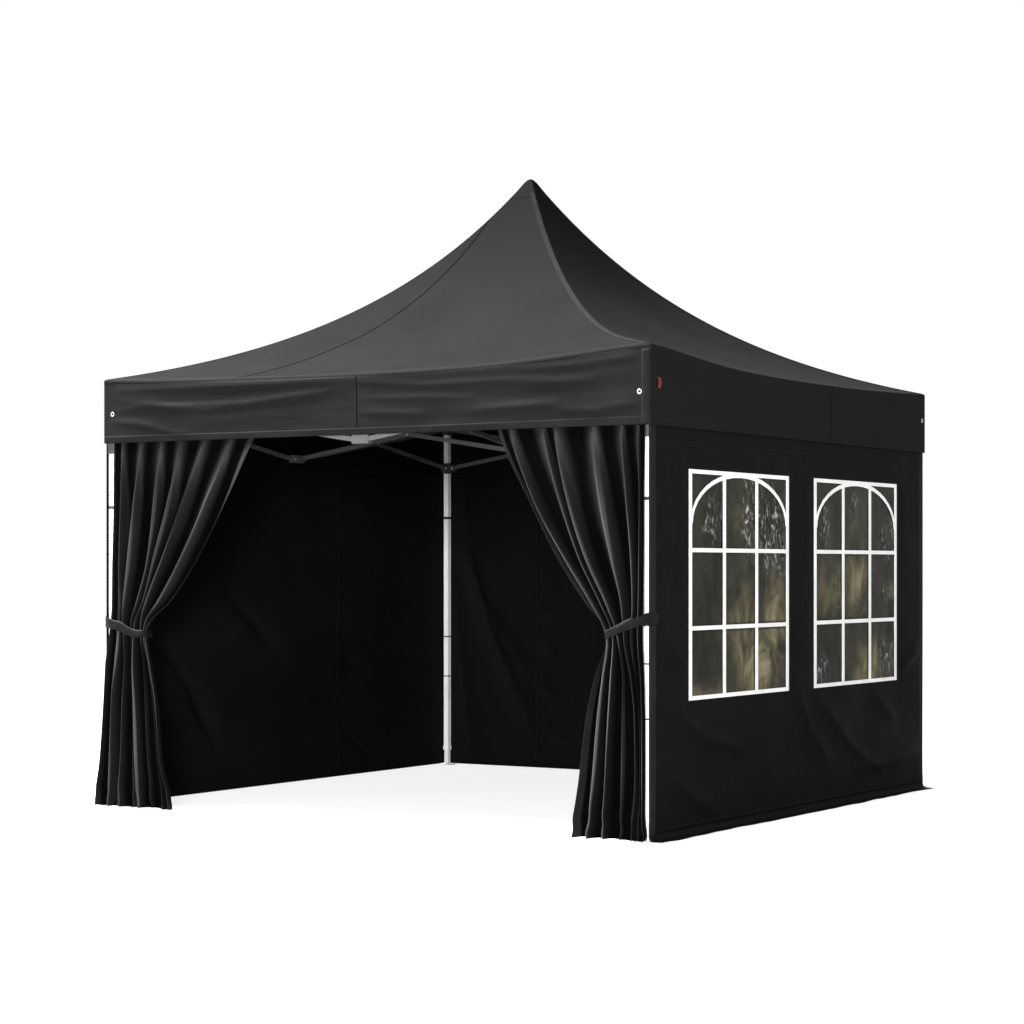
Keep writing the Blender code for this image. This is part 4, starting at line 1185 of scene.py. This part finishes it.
for side, sign in (("left", -1), ("right", 1)):
    lines = [(list(zip(LEVELS, line)), stand, dip) for line, stand, dip in CRESTS[side]]
    count = len(lines) - 1

    def curtain_fold(across, height):
        """Place along, depth and painted light of a curtain's folds; across is 0 at the leg, 1 at the
        edge.
        """
        fold = min(int(across * count), count - 1)
        share = across * count - fold
        (starts, out_start, dip), (ends, out_end, _) = lines[fold], lines[fold + 1]
        start, end = smooth_value(starts, height), smooth_value(ends, height)
        below = min(max((0.95 - height) / 0.25, 0.0), 1.0)
        crest, deepest = smooth_value(CREST_DEEP, height), smooth_value(DIP_DEEP, height)
        low = crest - (crest - deepest) * ((1 - below) * dip[0] + below * dip[1])
        middle = 0.5 + 0.12 * noise.noise(Vector((fold * 2.7, height * 1.3, sign * 2.0)))
        near = out_start if share < middle else out_end
        top = deepest + (crest - deepest) * ((1 - below) * near[0] + below * near[1])
        at = share / middle if share < middle else (1 - share) / (1 - middle)
        low = min(low, top)
        raised = (0.5 + 0.5 * math.cos(math.pi * min(at, 1.0))) ** (1.0 + 0.35 * below)
        deep = low + (top - low) * raised
        small = noise.noise(Vector((across * count * 2.6, height * 1.7, sign * 6.0)))
        deep += 0.005 * small * min(1.0, max(0.0, (1.72 - height) * 5))
        crumple = noise.noise(Vector((across * count * 1.3, height * 13, sign * 8.0)))
        deep += 0.024 * crumple * math.exp(-((height / 0.10) ** 2))
        pinch = math.exp(-(((height - TIED_AT) / 0.15) ** 2))
        pucker = math.sin(math.tau * across * count * 2.5) * min(share, 1 - share)
        deep += 0.008 * pinch * pucker
        wave = noise.noise(Vector((across * count * 0.9, height * 3.1, sign * 4.0)))
        deep += 0.004 * wave * min(1.0, max(0.0, (1.70 - height) * 6)) * (1 - pinch)
        if height > VALANCE_BOTTOM:
            deep = min(deep, 0.0035)
        along = start + (end - start) * (share - 0.11 * math.sin(math.tau * share))
        stand = (1 - below) * near[0] + below * near[1]
        along -= 0.010 * crumple * math.exp(-((height / 0.08) ** 2))
        # Share of painted light: painted shade in the hollows, lighter on crests that stand out, with
        # a little noise
        tone = raised * (0.25 + 0.75 * stand) * (1 + 0.40 * small) + 0.25 * max(small, 0.0)
        return along, max(deep, -0.006), min(max(tone, 0.0), 1.0)

    def curtain_point(across, height, lift=0.0):
        """A point on a curtain, or just in front of it."""
        along, deep, _ = curtain_fold(across, height)
        rise = 0.5 + 0.5 * noise.noise(Vector((across * 7.0, 3.3, sign * 9.0)))
        height += 0.009 * rise * math.exp(-height / 0.06)
        return Vector((sign * along, -CURTAIN_BACK - deep - lift, height))

    drape, band = bmesh.new(), bmesh.new()
    strip(
        drape, 1.05, 26 * count, 170, lambda a, d: Vector((a, CURTAIN_TOP - CURTAIN_LONG * d, 0))
    )
    # The folds layer: U is the painted light of the folds, V the strength of the painted highlight
    # lines
    layer = drape.loops.layers.uv.new("folds")
    for vert in drape.verts:
        raised = curtain_fold(vert.co.x, vert.co.y)[2]
        for loop in vert.link_loops:
            loop[layer].uv = raised, smooth_value(CREST_SHINE, vert.co.y)
        vert.co = curtain_point(vert.co.x, vert.co.y)
    made = cloth_piece(
        f"curtain_cloth_{side}", drape, FORWARD, curtain_cloth, 0.0010
    )
    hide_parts(f"curtain_{side}")

    def hem_point(a, d):
        return curtain_point(1 - CURTAIN_HEM * d, CURTAIN_TOP - CURTAIN_LONG * a, 0.0014)

    strip(band, 1.9, 170, 4, hem_point)
    hem = cloth_piece(f"curtain_hem_{side}", band, FORWARD, curtain_hem, 0.0008)


# Tie-backs
# Bands of the curtain's own cloth that gather it at the waist, pass round the leg and stick to
# the side wall.
TIE_BAND = 0.045
TIE_INNER = {"left": 1.213, "right": 1.309}
TIE_HEIGHTS = {
    "left": [(1.216, 0.838), (1.256, 0.841), (1.304, 0.851), (1.359, 0.874), (1.470, 0.891)],
    "right": [(1.311, 0.872), (1.352, 0.884), (1.410, 0.911), (1.455, 0.925), (1.490, 0.938)],
}

tie_cloth = sewn_finish("tie_back_cloth", (0.0048, 0.0048, 0.0050), 0.55, 0.16, 0.05)
for side, sign in (("left", -1), ("right", 1)):
    inner = TIE_INNER[side]
    front = CURTAIN_BACK + 0.0625
    route = [
        (1.440, 1.4905), (inner + 0.010, 1.4905), (inner - 0.005, 1.500), (inner - 0.006, 1.530),
        (inner + 0.006, 1.5520), (inner + 0.040, front), (1.380, front + 0.001),
        (1.430, front - 0.006), (1.466, front - 0.030), (1.490, 1.503), (1.4962, 1.488),
        (1.4962, 1.415),
    ]
    lengths = [0.0]
    for start, end in zip(route, route[1:]):
        lengths.append(lengths[-1] + math.dist(start, end))
    heights = [(-along, height) for along, height in TIE_HEIGHTS[side]]

    def band_point(a, d):
        """A point of the band, from the share of its length and of its width."""
        at = a * lengths[-1]
        for number in range(len(route) - 1):
            if at <= lengths[number + 1] + 1e-9:
                break
        share = (at - lengths[number]) / (lengths[number + 1] - lengths[number])
        points = [Vector(route[min(max(k, 0), len(route) - 1)]) for k in range(number - 1, number + 3)]
        leaving, arriving = (points[2] - points[0]) * 0.35, (points[3] - points[1]) * 0.35
        spot = cubic(share, points[1], points[2], leaving, arriving)
        pull = 0.005 * noise.noise(Vector((at * 16, d * 2, sign)))
        climb = (spot.x + heights[0][0]) / (heights[0][0] - heights[-1][0])
        narrow = 0.80 + 0.35 * min(max(climb, 0), 1) - 0.10 * noise.noise(Vector((at * 9, 0, sign)))
        height = smooth_value(heights, -spot.x) + TIE_BAND * narrow * (d - 0.5) + pull
        roll = 0.0022 * math.cos(math.pi * (d - 0.5)) if spot.y > 1.51 else 0.0
        roll += 0.0035 * noise.noise(Vector((at * 16, d * 3.4, sign * 5)))
        return Vector((sign * spot.x, -spot.y - roll, height))

    tie = bmesh.new()
    strip(tie, lengths[-1], 120, 6, band_point)
    made = cloth_piece(f"tie_band_{side}", tie, FORWARD, tie_cloth, 0.0014, 0.0)
    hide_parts(f"tie_back_{side}")


# Floor, light and camera
# A plain pale floor under soft studio light: a large soft key from above the left, a weak fill
# from the front that reaches into the room, and even light from a white surround.
floor_mesh = bmesh.new()
bmesh.ops.create_grid(floor_mesh, x_segments=1, y_segments=1, size=60.0)
floor_finish, tree, shader, _ = new_material("pale_floor")
matt = {"Base Color": (0.36, 0.36, 0.36, 1), "Roughness": 0.9, "Specular IOR Level": 0.0}
fill(tree, shader, matt)
shine = node(tree, "Emission", {"Color": (1, 1, 1, 1), "Strength": 0.80})
seen = node(tree, "LightPath").outputs["Is Camera Ray"]
dark = node(tree, "Emission", {"Strength": 0.0})
lit = node(tree, "MixShader", {0: seen, 1: dark.outputs[0], 2: shine.outputs[0]})
both = node(tree, "AddShader", {0: shader.outputs[0], 1: lit.outputs[0]})
output = next(item for item in tree.nodes if item.bl_idname == "ShaderNodeOutputMaterial")
tree.links.new(both.outputs[0], output.inputs["Surface"])
mesh = bpy.data.meshes.new("floor")
bmesh.ops.translate(floor_mesh, verts=floor_mesh.verts[:], vec=(0, 0, -0.001))
floor_mesh.to_mesh(mesh)
floor_mesh.free()
mesh.materials.append(floor_finish)
floor = bpy.data.objects.new("floor", mesh)
bpy.context.scene.collection.objects.link(floor)

world = bpy.data.worlds.new("studio")
bpy.context.scene.world = world
world.use_nodes = True
tree = world.node_tree
room = tree.nodes["Background"]
seen = node(tree, "LightPath").outputs["Is Camera Ray"]
fill(tree, room, {"Color": (1, 1, 1, 1), "Strength": ranged(tree, seen, to_low=0.75)})


def soft_light(name, at, aim, size, power):
    """A round lamp that points at a place."""
    lamp = bpy.data.lights.new(name, "AREA")
    lamp.energy, lamp.size, lamp.shape = power, size, "DISK"
    made = bpy.data.objects.new(name, lamp)
    made.location = at
    made.rotation_euler = (Vector(aim) - Vector(at)).to_track_quat("-Z", "Y").to_euler()
    bpy.context.scene.collection.objects.link(made)


soft_light("key", (-7.4, -3.6, 12.7), (0, 0, 1.2), 4.0, 14000.0)
soft_light("fill", (5.2, -11.5, 2.6), (0, 0, 1.0), 3.0, 1900.0)

camera = bpy.data.objects.new("camera", bpy.data.cameras.new("camera"))
bpy.context.scene.collection.objects.link(camera)
camera.location = (6.359, -10.427, 1.155)
camera.rotation_euler = (math.radians(90), 0, math.radians(31.82))
camera.data.sensor_width = 36
camera.data.lens = 85.24
camera.data.shift_y = 0.0541
bpy.context.scene.camera = camera
bpy.context.scene.view_settings.view_transform = "Standard"
